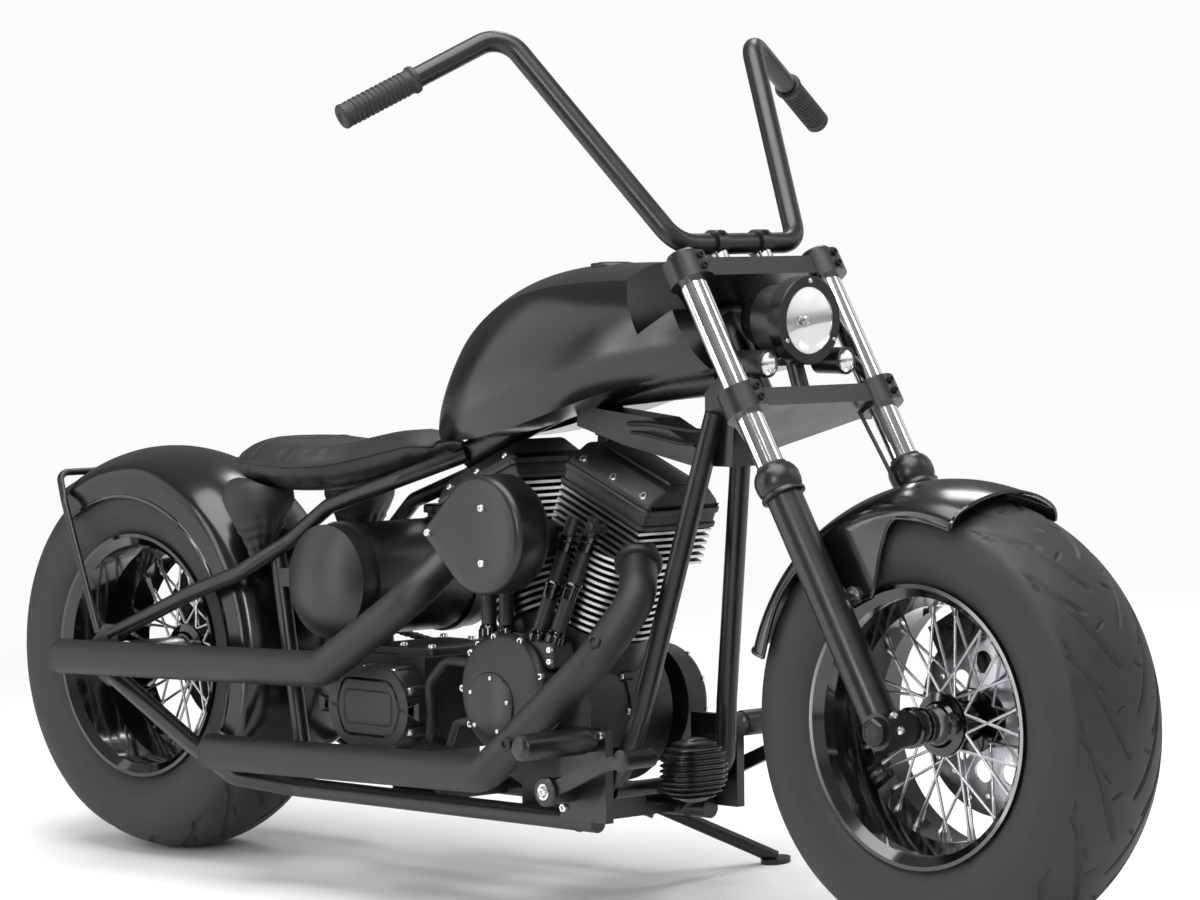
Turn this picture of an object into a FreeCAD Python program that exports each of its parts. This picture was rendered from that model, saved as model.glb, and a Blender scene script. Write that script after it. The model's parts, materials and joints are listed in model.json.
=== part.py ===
import FreeCAD, Part
import math
import os

# Chopper motorcycle, parked leaning on its side stand. All lengths are in millimetres.
#
# The motorcycle is laid out upright first: X runs forward from the rear axle, Y to the rider's left
# and Z up from the floor. Every piece is then leaned over to the left about the tyres' contact line and
# moved so that the origin is under the middle of the whole machine, on the floor.

# ---------------------------------------------------------------- stance
WHEELBASE = 1772.0
LEAN = 6.0                    # degrees to the left, on the side stand
RAKE = 30.7                   # degrees, fork tubes from the vertical
TRACK_GAP = 0.3               # clearance between curved faces of pieces that move on each other
RUN_GAP = 0.05                # radial clearance of a shaft in its bearing

# ---------------------------------------------------------------- wheels
TYRE_R = 332.0
TYRE_HALF = 106.0
TYRE_CROWN_R = 165.0          # radius of the tread's crown across the tyre
TYRE_TREAD_HALF = 93.0
TYRE_BULGE_DOWN = 62.0        # from the tread's top to where the sidewall is widest
RIM_LIP_R = 206.0
RIM_BEAD_R = 193.0
RIM_WELL_R = 178.0
RIM_WALL = 6.0
RIM_HALF = 94.0
RIM_LIP = 8.0
RIM_WELL_HALF = 26.0
HUB_R = 26.0
HUB_FLANGE_R = 44.0
HUB_FLANGE = 5.0
AXLE_R = 12.5
SPOKE_R = 2.3
SPOKES = 40
SPOKE_LACE = 38.0             # degrees between a spoke's two ends about the axle
DISC_R = 146.0
DISC_T = 5.0
FRONT_HUB_HALF = 66.0
FRONT_FLANGE_HALF = 34.0
FRONT_DISC_Y = 88.0
REAR_HUB_HALF = 112.0
REAR_LACE_Y = 48.0            # the rear rim is dished, so its spokes stand left of the middle
REAR_FLANGE_HALF = 30.0
SPROCKET_R = 104.0
SPROCKET_T = 8.0
SPROCKET_Y = 128.0
SPROCKET_TEETH = 51

# ---------------------------------------------------------------- fork and steering
STEM_OFFSET = 100.0           # steering axis behind the plane of the fork tubes
FORK_HALF = 144.0
FORK_TUBE_R = 20.5
FORK_LEG_R = 27.0
FORK_COLLAR_R = 34.0
FORK_FOOT = 28.0              # half width of the axle boss at the foot of each leg
FORK_LENGTH = 763.8           # from the top clamp to the axle, along the fork line
AXLE_LEAD = 9.75              # axle ahead of the fork line
CLAMP_T = 30.0
LOWER_CLAMP_DOWN = 222.0      # distances down the fork line from the top clamp
LEG_TOP_DOWN = 345.0
LEG_BELOW_AXLE = 22.2
STEM_R = 14.0
HEAD_TUBE_R = 30.0
HEAD_GAP = 4.0                # between the head tube's ends and the clamps
STEM_BOSS_R = 34.0

# ---------------------------------------------------------------- handlebar
BAR_R = 16.0
BAR_BEND = 46.0
GRIP_R = 18.5
GRIP_L = 128.0
# corners of the bar's left half, as (ahead, left, up) from the top clamp's centre
BAR_CORNERS = {"low": (-36.7, 128.0, 40.2), "high": (-265.7, 265.0, 358.2), "end": (-351.7, 510.0, 232.2)}
RISER_Y = 47.0
RISER_W = 22.0

# ---------------------------------------------------------------- frame
TUBE_R = 16.0
STAY_R = 13.0
RAIL_HALF = 122.0
RAIL_Z = 146.0
STAY_HALF = 156.0
AXLE_PLATE_T = 12.0
BACKBONE_R = 24.0

# ---------------------------------------------------------------- engine
CRANK = (982.0, 300.0)        # X and Z of the crankshaft's centre
CYL_TILT = 22.5
BARREL_R = 58.0
FIN_R = 84.0
FIN_PITCH = 11.0
FIN_T = 4.5
BARREL_FROM = 150.0
HEAD_FROM = 284.0
ROCKER_FROM = 352.0
ROCKER_TOP = 424.0
ROCKER_LEN = 196.0
ROCKER_W = 168.0
CASE_HALF = 88.0

AIR_CLEANER_IN = 170.0        # air cleaner, from and to across the machine
AIR_CLEANER_OUT = 240.0
PIPE_R = 29.0
PIPE_WALL = 2.0
PIPE_BORE_DEPTH = 90.0
PIPE_Y = -205.0
PRIMARY_IN = 148.0            # left-hand primary cover, from and to across the machine
PRIMARY_OUT = 202.0
GEAR_SHAFT = (655.0, 300.0)
FRONT_SPROCKET_R = 40.0
CHAIN_W = 12.0
CHAIN_H = 13.0
REAR_DISC_Y = 113.0
REAR_DISC_R = 138.0
# routes of the exhaust pipes, from their open ends to the cylinder heads
UPPER_PIPE = [(-60.0, PIPE_Y, 335.0), (CRANK[0] - 372, PIPE_Y, CRANK[1] + 53), (CRANK[0] - 184, -186.0, CRANK[1] + 174),
              (CRANK[0] - 170, -66.0, CRANK[1] + 266)]
LOWER_PIPE = [(332.0, PIPE_Y, 202.0), (CRANK[0] + 3, PIPE_Y, CRANK[1] - 86), (CRANK[0] + 210, -172.0, CRANK[1] + 96),
              (CRANK[0] + 248, -112.0, CRANK[1] + 190), (CRANK[0] + 188, -50.0, CRANK[1] + 256)]
UPPER_PIPE_BEND = 66.0
LOWER_PIPE_BEND = 62.0
TANK_BACK = 714.0             # rear end of the fuel tank
OIL_TANK = (555.0, 487.0)
OIL_TANK_R = 91.0
OIL_TANK_HALF = 148.0
SOFT_GAP = 0.3             # room between the seat pad and the boots below it
SEAT_BOOT = (346.0, 110.0)  # X and half distance apart of the boots on the seat's springs
SEAT_BOOT_RINGS = [        # height and radius of each ring of a boot, from its foot on the top rail up
    (500, 17), (527, 21), (543, 29), (562, 41), (585, 51), (606, 60), (622, 59), (648, 50)]
# oil lines at the right-hand side, each from the cam cover to the gearbox: radius, bend and route
OIL_LINES = (
    (7.0, 30.0, [(CRANK[0] - 102, -116, CRANK[1] + 71), (806, -118, 373), (768, -120, 336), (768, -118, 262),
                 (730, -90, 238)]),
    (6.0, 20.0, [(CRANK[0] - 102, -112, CRANK[1] - 14), (826, -116, 276), (790, -96, 240), (730, -46, 232)]))
COIL_COVER_HALF = 30.0        # half width of the coil cover under the backbone

# ---------------------------------------------------------------- forward controls
CONTROL_PLATE_IN = 134.0      # mounting plate, from and to across the machine
CONTROL_PLATE_OUT = 150.0
PEG = (1170.0, 276.0)         # X and Z of the foot peg
PEG_R = 18.0
PEG_TIP = 302.0
PEDAL_PIVOT = (1120.0, 198.0)
PEDAL_TOE = (1304.0, 260.0)
PEDAL_OUT = 200.0             # outer face of the pedal's arm
PEDAL_T = 10.0

# ---------------------------------------------------------------- side stand
STAND_PIVOT = (975.0, 158.0, 138.0)
STAND_FOOT = (1085.0, 335.0)
STAND_STOWED = (-0.96, 0.22, 0.10)
STAND_R = 11.0
STAND_PAD_R = 24.0
STAND_PAD_T = 8.0

# ---------------------------------------------------------------- fenders
FENDER_T = 2.5
FENDER_GAP = 18.0             # between the tread and the fender
FENDER_HALF = 112.0
FENDER_CROWN = 48.0           # depth of the crowned part, from the top to where the sides are straight
REAR_SKIRT = 34.0             # straight side below the crowned part
FRONT_SKIRT = 0.0
FRONT_EAR = 110.0             # how far the front fender's ears reach below its skirts

# ---------------------------------------------------------------- derived
RAKE_RAD = math.radians(RAKE)
FRONT_AXLE = (WHEELBASE, TYRE_R)
REAR_AXLE = (0.0, TYRE_R)
DOWN = (math.sin(RAKE_RAD), -math.cos(RAKE_RAD))      # down the fork, in X and Z
AHEAD = (math.cos(RAKE_RAD), math.sin(RAKE_RAD))      # ahead of the fork, square to it
RAISE = TYRE_CROWN_R * (1.0 - math.cos(math.radians(LEAN)))
TOP_CLAMP = (FRONT_AXLE[0] - DOWN[0] * FORK_LENGTH - AHEAD[0] * AXLE_LEAD,
             FRONT_AXLE[1] - DOWN[1] * FORK_LENGTH - AHEAD[1] * AXLE_LEAD)
NECK = (TOP_CLAMP[0] + DOWN[0] * LOWER_CLAMP_DOWN / 2 - AHEAD[0] * STEM_OFFSET,    # middle of the head tube
        TOP_CLAMP[1] + DOWN[1] * LOWER_CLAMP_DOWN / 2 - AHEAD[1] * STEM_OFFSET)
FENDER_IN_R = TYRE_R + FENDER_GAP
FENDER_OUT_R = FENDER_IN_R + FENDER_T
# backbone's line in X and Z, from the neck to its rear end
BACKBONE_LINE = [(NECK[0] - 34, NECK[1] - 17), (1000.0, 790.0), (880.0, 748.0), (740.0, 688.0)]


# ---------------------------------------------------------------- shape helpers
def vec(x, y, z):
    return FreeCAD.Vector(x, y, z)


def cyl(start, end, radius):
    """Round bar from one point to another."""
    run = end - start
    return Part.makeCylinder(radius, run.Length, start, run)


def cone(start, end, r_start, r_end):
    run = end - start
    return Part.makeCone(r_start, r_end, run.Length, start, run)


def across(x, z, y_from, y_to, radius):
    """Round bar across the machine, along Y."""
    return Part.makeCylinder(radius, y_to - y_from, vec(x, y_from, z), vec(0, 1, 0))


def block(x, y, z):
    """Box from three (low, high) pairs."""
    return Part.makeBox(x[1] - x[0], y[1] - y[0], z[1] - z[0], vec(x[0], y[0], z[0]))


def fuse(shapes):
    whole = shapes[0].fuse(shapes[1:]) if len(shapes) > 1 else shapes[0]
    return whole.removeSplitter()


def mirrored(shape):
    """The same piece on the other side of the machine."""
    return shape.mirror(vec(0, 0, 0), vec(0, 1, 0))


def pair(shape):
    return Part.makeCompound([shape, mirrored(shape)])


def path_edges(points, bend):
    """Straight runs between the points, joined by tangent arcs of the bend radius."""
    edges = []
    start = points[0]
    for before, corner, after in zip(points, points[1:], points[2:]):
        run_in = (corner - before).normalize()
        run_out = (after - corner).normalize()
        half_turn = run_in.getAngle(run_out) / 2
        back = bend * math.tan(half_turn)
        p, q = corner - run_in * back, corner + run_out * back
        inward = (run_out - run_in).normalize()
        middle = corner + inward * (bend / math.cos(half_turn) - bend)
        edges.append(Part.LineSegment(start, p).toShape())
        edges.append(Part.Arc(p, middle, q).toShape())
        start = q
    edges.append(Part.LineSegment(start, points[-1]).toShape())
    return edges


def bar(points, radius, bend):
    """Round bar along a bent path, swept as one solid."""
    points = [vec(*p) for p in points]
    edges = path_edges(points, bend)
    run = points[1] - points[0]
    section = Part.Wire([Part.makeCircle(radius, points[0], run)])
    return Part.Wire(edges).makePipeShell([section], True, True)


def outline(corners, plane):
    """Closed face through straight and arc edges.

    corners: a point (u, w) ends a straight edge, ((u, w), (u, w)) an arc by its middle and its end.
    plane: turns (u, w) into a vector.
    """
    start = here = plane(*corners[0])
    edges = []
    for corner in corners[1:] + [corners[0]]:
        if isinstance(corner[0], tuple):
            middle, end = plane(*corner[0]), plane(*corner[1])
            edges.append(Part.Arc(here, middle, end).toShape())
        else:
            end = plane(*corner)
            if (end - here).Length > 1e-6:
                edges.append(Part.LineSegment(here, end).toShape())
        here = end
    if (here - start).Length > 1e-6:
        edges.append(Part.LineSegment(here, start).toShape())
    return Part.Face(Part.Wire(edges))


def side_slab(corners, y_from, y_to):
    """Side outline in X and Z, thick along Y."""
    face = outline(corners, lambda x, z: vec(x, y_from, z))
    return face.extrude(vec(0, y_to - y_from, 0))


def turned(corners, x, z):
    """Section in (radius, Y), turned about an axis across the machine through X and Z."""
    face = outline(corners, lambda r, y: vec(x + r, y, z))
    return face.revolve(vec(x, 0, z), vec(0, 1, 0), 360)


def fork_point(down, ahead=0.0, y=0.0):
    """Point at a distance down the fork line from the top clamp, and ahead of it."""
    x = TOP_CLAMP[0] + DOWN[0] * down + AHEAD[0] * ahead
    z = TOP_CLAMP[1] + DOWN[1] * down + AHEAD[1] * ahead
    return vec(x, y, z)


def plate_across_fork(corners, down, thickness):
    """Plate square to the fork; corners in (distance ahead of the fork line, Y)."""
    face = outline(corners, lambda ahead, y: fork_point(down - thickness / 2, ahead, y))
    return face.extrude(vec(DOWN[0], 0, DOWN[1]) * thickness)


def cylinder_place(tilt):
    """Placement that stands a piece made about Z on the crankshaft's centre, tilted forward."""
    return FreeCAD.Placement(vec(CRANK[0], 0, CRANK[1]), FreeCAD.Rotation(vec(0, 1, 0), tilt))


# ---------------------------------------------------------------- wheels
def tyre_solid(axle):
    drop = TYRE_CROWN_R - math.sqrt(TYRE_CROWN_R ** 2 - TYRE_TREAD_HALF ** 2)
    shoulder = TYRE_R - drop
    bulge_r = TYRE_R - TYRE_BULGE_DOWN
    bead = RIM_HALF - RIM_LIP
    return turned([
        (RIM_BEAD_R, -bead), (RIM_LIP_R, -bead),
        ((bulge_r, -TYRE_HALF), (shoulder, -TYRE_TREAD_HALF)),
        ((TYRE_R, 0.0), (shoulder, TYRE_TREAD_HALF)),
        ((bulge_r, TYRE_HALF), (RIM_LIP_R, bead)),
        (RIM_BEAD_R, bead)], axle[0], axle[1])


def rim_solid(axle, well_y):
    bead = RIM_HALF - RIM_LIP
    seat = 62.0
    low, high = well_y - RIM_WELL_HALF, well_y + RIM_WELL_HALF
    outer = [(RIM_LIP_R, -RIM_HALF), (RIM_LIP_R, -bead), (RIM_BEAD_R, -bead)]
    outer += [(RIM_BEAD_R, max(-seat, low - 36)), (RIM_WELL_R, low), (RIM_WELL_R, high)]
    outer += [(RIM_BEAD_R, min(seat + 20, high + 12)), (RIM_BEAD_R, bead), (RIM_LIP_R, bead)]
    outer += [(RIM_LIP_R, RIM_HALF)]
    inner = [(r - RIM_WALL, y) for r, y in outer[2:8]]
    inner[0] = (RIM_LIP_R - RIM_WALL, -RIM_HALF)
    inner[-1] = (RIM_LIP_R - RIM_WALL, RIM_HALF)
    inner.insert(1, (RIM_BEAD_R - RIM_WALL, -bead + 4))
    inner.insert(-1, (RIM_BEAD_R - RIM_WALL, bead - 4))
    return turned(outer + inner[::-1], axle[0], axle[1])


def laced_hub(axle, hub_half, lace_y, flange_half):
    """Hub shell with two flanges and crossed spokes out to the rim's well, as one solid."""
    x, z = axle
    hub = across(x, z, -hub_half, hub_half, HUB_R)
    pieces = []
    for side in (-1, 1):
        y = lace_y + side * flange_half
        pieces.append(across(x, z, y - HUB_FLANGE / 2, y + HUB_FLANGE / 2, HUB_FLANGE_R))
        for index in range(SPOKES // 2):
            foot = 360.0 * (index + 0.25 * side) / (SPOKES // 2)
            lean = SPOKE_LACE if index % 2 else -SPOKE_LACE
            a, b = math.radians(foot), math.radians(foot + lean)
            r_in, r_out = HUB_FLANGE_R - 6, RIM_WELL_R - RIM_WALL - 0.9
            inner = vec(x + r_in * math.cos(a), y, z + r_in * math.sin(a))
            outer = vec(x + r_out * math.cos(b), lace_y + side * 12, z + r_out * math.sin(b))
            pieces.append(cyl(inner, outer, SPOKE_R))
    hub = hub.fuse(pieces)
    return hub.cut(across(x, z, -hub_half - 1, hub_half + 1, AXLE_R + RUN_GAP))


def disc_solid(axle, y, carrier_to):
    """Brake disc with a ring of slots, on a carrier that reaches in to the hub."""
    x, z = axle
    disc = across(x, z, y - DISC_T / 2, y + DISC_T / 2, DISC_R)
    slots = []
    for index in range(10):
        a = math.radians(36 * index)
        slots.append(across(x + 84 * math.cos(a), z + 84 * math.sin(a), y - DISC_T, y + DISC_T, 17))
        for r, step in ((118, 9), (132, -6)):
            b = a + math.radians(step)
            slots.append(across(x + r * math.cos(b), z + r * math.sin(b), y - DISC_T, y + DISC_T, 4))
    low, high = sorted((y, carrier_to))
    carrier = across(x, z, low, high, HUB_FLANGE_R)
    disc = disc.fuse(carrier).cut(slots)
    return disc.cut(across(x, z, low - 20, high + 20, HUB_R + TRACK_GAP))


def sprocket_solid(axle):
    x, z = axle
    corners = []
    for tooth in range(SPROCKET_TEETH):
        for share, r in ((0.0, SPROCKET_R), (0.25, SPROCKET_R), (0.5, SPROCKET_R - 7), (0.75, SPROCKET_R - 7)):
            a = 2 * math.pi * (tooth + share) / SPROCKET_TEETH
            corners.append((x + r * math.cos(a), z + r * math.sin(a)))
    plate = side_slab(corners, SPROCKET_Y - SPROCKET_T / 2, SPROCKET_Y + SPROCKET_T / 2)
    holes = [across(x + 66 * math.cos(a), z + 66 * math.sin(a), SPROCKET_Y - 9, SPROCKET_Y + 9, 15)
             for a in (math.radians(60 * k) for k in range(6))]
    carrier = across(x, z, REAR_HUB_HALF, SPROCKET_Y, HUB_FLANGE_R)
    plate = plate.fuse(carrier).cut(holes)
    return plate.cut(across(x, z, 0, SPROCKET_Y + 20, AXLE_R + RUN_GAP))


# ---------------------------------------------------------------- fenders
def fender_solid(axle, skirt, from_deg, to_deg):
    """Shell round a wheel: a crowned strip with side skirts, swept from one angle to another."""
    x, z = axle
    inner_r, outer_r, half = FENDER_IN_R, FENDER_OUT_R, FENDER_HALF
    skirt_r = inner_r - FENDER_CROWN - skirt

    def side(r, y, sign):
        return [((r - 29, sign * (y - 7)), (r - 20, sign * (y - 26)))]

    def back(r, y, sign):
        return [((r - 29, sign * (y - 7)), (r - FENDER_CROWN, sign * y))]

    wide = half + FENDER_T
    section = [(skirt_r, -wide), (outer_r - FENDER_CROWN, -wide)] + side(outer_r, wide, -1)
    section += [((outer_r, 0.0), (outer_r - 20, wide - 26))] + back(outer_r, wide, 1)
    section += [(skirt_r, wide), (skirt_r, half), (inner_r - FENDER_CROWN, half)] + side(inner_r, half, 1)
    section += [((inner_r, 0.0), (inner_r - 20, -half + 26))] + back(inner_r, half, -1) + [(skirt_r, -half)]
    face = outline(section, lambda r, y: vec(x + r, y, z))
    face.rotate(vec(x, 0, z), vec(0, -1, 0), from_deg)
    return face.revolve(vec(x, 0, z), vec(0, -1, 0), to_deg - from_deg)


# ---------------------------------------------------------------- engine pieces
def finned_barrel():
    """Cylinder and head about Z, with plate fins."""
    barrel = Part.makeCylinder(BARREL_R, ROCKER_FROM - BARREL_FROM, vec(0, 0, BARREL_FROM))
    fins = []
    for index in range(int((HEAD_FROM - BARREL_FROM) / FIN_PITCH)):
        fins.append(Part.makeCylinder(FIN_R, FIN_T, vec(0, 0, BARREL_FROM + 8 + FIN_PITCH * index)))
    for index in range(int((ROCKER_FROM - HEAD_FROM) / FIN_PITCH)):
        low = HEAD_FROM + 4 + FIN_PITCH * index
        fins.append(block((-92, 92), (-78, 78), (low, low + FIN_T)))
    core = block((-60, 60), (-58, 58), (HEAD_FROM, ROCKER_FROM))
    return barrel.fuse(fins + [core])


def rocker_box():
    """Rocker cover about Z: an upright skirt with a narrower crowned lid."""
    half_l, half_w = ROCKER_LEN / 2, ROCKER_W / 2
    step = ROCKER_FROM + 26
    skirt = block((-half_l, half_l), (-half_w, half_w), (ROCKER_FROM, step))
    lid = outline([(-half_w, step), (half_w, step), (half_w - 6, step + 12), (half_w - 40, ROCKER_TOP),
                   (-half_w + 40, ROCKER_TOP), (-half_w + 6, step + 12)], lambda y, z: vec(-half_l, y, z))
    return skirt.fuse(lid.extrude(vec(2 * half_l, 0, 0)))


def side_pair(nodes, name, shape):
    """Right-hand piece and its mirror image as two nodes."""
    nodes[name + "_right"] = shape
    nodes[name + "_left"] = mirrored(shape)


def clear_of(nodes, name, others):
    """Cut a piece back to the faces of the pieces it meets."""
    nodes[name] = nodes[name].cut([nodes[other] for other in others])


# ---------------------------------------------------------------- frame
def add_frame(nodes):
    low = LOWER_CLAMP_DOWN - CLAMP_T / 2 - HEAD_GAP
    head = cyl(fork_point(low, -STEM_OFFSET), fork_point(CLAMP_T / 2 + HEAD_GAP, -STEM_OFFSET), HEAD_TUBE_R)
    corners = [(-54, -148), (2, -148), (6, -90), (28, -60), (-14, -3), (-54, -38)]
    gusset = side_slab([(NECK[0] + x, NECK[1] + z) for x, z in corners], -26, 26)
    bore = cyl(fork_point(low + 60, -STEM_OFFSET), fork_point(-60, -STEM_OFFSET), STEM_R + RUN_GAP)
    nodes["head_tube"] = head.fuse(gusset).cut(bore)
    nodes["backbone"] = bar([(x, 0, z) for x, z in BACKBONE_LINE], BACKBONE_R, 200)
    side_pair(nodes, "downtube", bar(
        [(NECK[0] - 28, -30, NECK[1] - 68), (1216, -92, 320), (1192, -112, 226), (1100, -RAIL_HALF, RAIL_Z - 6)], TUBE_R, 55))
    side_pair(nodes, "lower_rail", bar(
        [(1150, -RAIL_HALF, RAIL_Z), (450, -RAIL_HALF, RAIL_Z), (330, -STAY_HALF, RAIL_Z + 12),
         (224, -STAY_HALF, 202), (20, -STAY_HALF, TYRE_R - 28)], TUBE_R, 50))
    side_pair(nodes, "top_rail", bar(
        [(10, -STAY_HALF + 4, TYRE_R + 40), (216, -STAY_HALF + 8, 452), (330, -138, 490), (420, -108, 545),
         (502, -92, 604), (657, -76, 652), (756, -22, 692)], STAY_R, 50))
    posts = [cyl(vec(384, -104, 532), vec(456, -106, RAIL_Z), STAY_R)]
    posts.append(mirrored(posts[0]))
    cross = across(395, 470, -104, 104, STAY_R)
    tab = block((318, 390), (-20, 20), (462, 478))
    nodes["seat_posts"] = fuse(posts + [cross, tab])
    plates = []
    plate_in, plate_out = STAY_HALF - AXLE_PLATE_T / 2, STAY_HALF + AXLE_PLATE_T / 2
    corners = [(-42, 20), (-42, -20), (10, -46), (42, -46), (36, 58), (0, 58)]
    plate = side_slab([(x, TYRE_R + z) for x, z in corners], -plate_out, -plate_in).cut(
        across(0, TYRE_R, -plate_out - 1, -plate_in + 1, AXLE_R))
    nodes["axle_plates"] = pair(plate)
    # engine and gearbox bearers between the lower rails: X from and to, and the seat's height
    bearers = []
    for x_from, x_to, seat in ((600, 700, 222), (905, 955, 180), (1030, 1080, 180)):
        bearers.append(block((x_from, x_to), (-RAIL_HALF, RAIL_HALF), (136, 150)).fuse(
            block((x_from, x_to), (-50, 50), (150, seat))))
    bearers.append(across(1178, 196, -118, 118, 12))
    nodes["bearers"] = Part.makeCompound(bearers)
    clear_of(nodes, "backbone", ["head_tube"])
    for side in ("_right", "_left"):
        clear_of(nodes, "downtube" + side, ["head_tube", "lower_rail" + side])
        clear_of(nodes, "top_rail" + side, ["backbone"])
        clear_of(nodes, "seat_posts", ["lower_rail" + side, "top_rail" + side])
        clear_of(nodes, "axle_plates", ["lower_rail" + side, "top_rail" + side])
        clear_of(nodes, "bearers", ["lower_rail" + side, "downtube" + side])


# ---------------------------------------------------------------- engine
def add_engine(nodes):
    x, z = CRANK
    case = across(x, z, -CASE_HALF, CASE_HALF, 120)
    stubs = []
    for tilt in (-CYL_TILT, CYL_TILT):
        stub = Part.makeCylinder(76, 90, vec(0, 0, BARREL_FROM - 90))
        stub.Placement = cylinder_place(tilt)
        stubs.append(stub)
    boss = across(x, z, CASE_HALF, PRIMARY_IN, 62)
    nodes["crankcase"] = fuse([case, boss] + stubs)
    cover = across(x - 30, z + 28, -138, -CASE_HALF, 92)
    disc = across(x - 48, z + 12, -147, -138, 50)
    tappets = [block((x + a, x + b), (-124, -CASE_HALF), (z + 78, z + 116)) for a, b in ((-100, -28), (6, 78))]
    nodes["cam_cover"] = fuse([cover, disc] + tappets)
    rods = []
    for foot, top in ((-86, -125), (-46, -84), (22, 74), (62, 122)):
        rods.append(cyl(vec(x + foot, -108, z + 116), vec(x + top, -74, z + 306), 12))
    nodes["pushrod_tubes"] = Part.makeCompound(rods)
    barrel, lid = finned_barrel(), rocker_box()
    halves = {"front": (1, CYL_TILT), "rear": (-1, -CYL_TILT)}
    for name, (sign, tilt) in halves.items():
        half = block(sorted((x + sign, x + sign * 400)), (-200, 200), (z, z + 500))
        shape = barrel.copy()
        shape.Placement = cylinder_place(tilt)
        nodes[name + "_cylinder"] = shape.common(half)
        cover = lid.copy()
        cover.Placement = cylinder_place(tilt)
        nodes[name + "_rocker_box"] = cover
    teardrop = [(x - 98, z + 270), (x - 39, z + 222), ((x + 120, z + 284), (x - 39, z + 346)), (x - 98, z + 290)]
    shell = side_slab(teardrop, -AIR_CLEANER_OUT, -AIR_CLEANER_IN)
    horn = across(x + 3, z + 272, -AIR_CLEANER_IN, 0, 27)
    bowl = block((x - 20, x + 26), (-150, -98), (z + 220, z + 272))
    nodes["air_cleaner"] = shell
    nodes["carburettor"] = fuse([horn, bowl])
    gx, gz = GEAR_SHAFT
    gearbox = block((562, 742), (-105, 118), (222, 372))
    side = [(gx - 34, 228), (gx + 30, 228), ((gx + 93, 291), (gx + 30, 354)), (gx - 34, 354),
            ((gx - 97, 291), (gx - 34, 228))]
    nodes["gearbox"] = fuse([gearbox, side_slab(side, -148, -105), across(gx, gz, 118, PRIMARY_IN, 24)])
    sprocket = across(gx, gz, SPROCKET_Y - 4, SPROCKET_Y + 4, FRONT_SPROCKET_R)
    nodes["gearbox"] = nodes["gearbox"].fuse(sprocket)
    nodes["primary_cover"] = side_slab(
        [(x, z - 96), ((x + 96, z), (x, z + 96)), (gx, gz + 84), ((gx - 84, gz), (gx, gz - 84))],
        PRIMARY_IN, PRIMARY_OUT)
    clear_of(nodes, "cam_cover", ["crankcase"])
    clear_of(nodes, "pushrod_tubes", ["cam_cover"])
    clear_of(nodes, "crankcase", ["bearers"])
    for name in halves:
        clear_of(nodes, name + "_cylinder", ["crankcase", "pushrod_tubes", "carburettor"])
        clear_of(nodes, name + "_rocker_box", ["pushrod_tubes"])


def add_lines(nodes):
    """Oil lines, the coil cover under the backbone and the cables from it to the neck."""
    nodes["oil_lines"] = Part.makeCompound([bar(route, radius, bend) for radius, bend, route in OIL_LINES])
    clear_of(nodes, "oil_lines", ["cam_cover", "crankcase", "gearbox"])
    x, z = NECK
    side = [(x - 328, z - 94), (x - 224, z - 121), (x - 80, z - 148), (x - 68, z - 122), (x - 164, z - 78), (x - 328, z - 62)]
    nodes["coil_cover"] = side_slab(side, -COIL_COVER_HALF, COIL_COVER_HALF)
    clear_of(nodes, "coil_cover", ["backbone", "fuel_tank", "front_rocker_box", "downtube_right", "downtube_left"])
    out = -COIL_COVER_HALF
    cables = [bar([(x - 48, -10, z - 98), (x - 82, out - 6, z - 94), (x - 154, out - 16, z - 86), (x - 226, out + 6, z - 88)],
                  4.0, 16),
              bar([(x - 48, 8, z - 118), (x - 92, out - 12, z - 114), (x - 170, out - 12, z - 102),
                   (x - 220, out + 6, z - 100)], 3.0, 16)]
    nodes["cables"] = Part.makeCompound(cables)
    clear_of(nodes, "cables", ["head_tube", "coil_cover"])


def pipe(points, bend):
    """Exhaust pipe with its open end bored out."""
    solid = bar(points, PIPE_R, bend)
    first, second = vec(*points[0]), vec(*points[1])
    run = (second - first).normalize()
    return solid.cut(cyl(first - run, first + run * PIPE_BORE_DEPTH, PIPE_R - PIPE_WALL))


def add_exhausts(nodes):
    nodes["exhaust_upper"] = pipe(UPPER_PIPE, UPPER_PIPE_BEND)
    nodes["exhaust_lower"] = pipe(LOWER_PIPE, LOWER_PIPE_BEND)
    clear_of(nodes, "rear_cylinder", ["exhaust_upper"])
    clear_of(nodes, "front_cylinder", ["exhaust_lower"])


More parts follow.
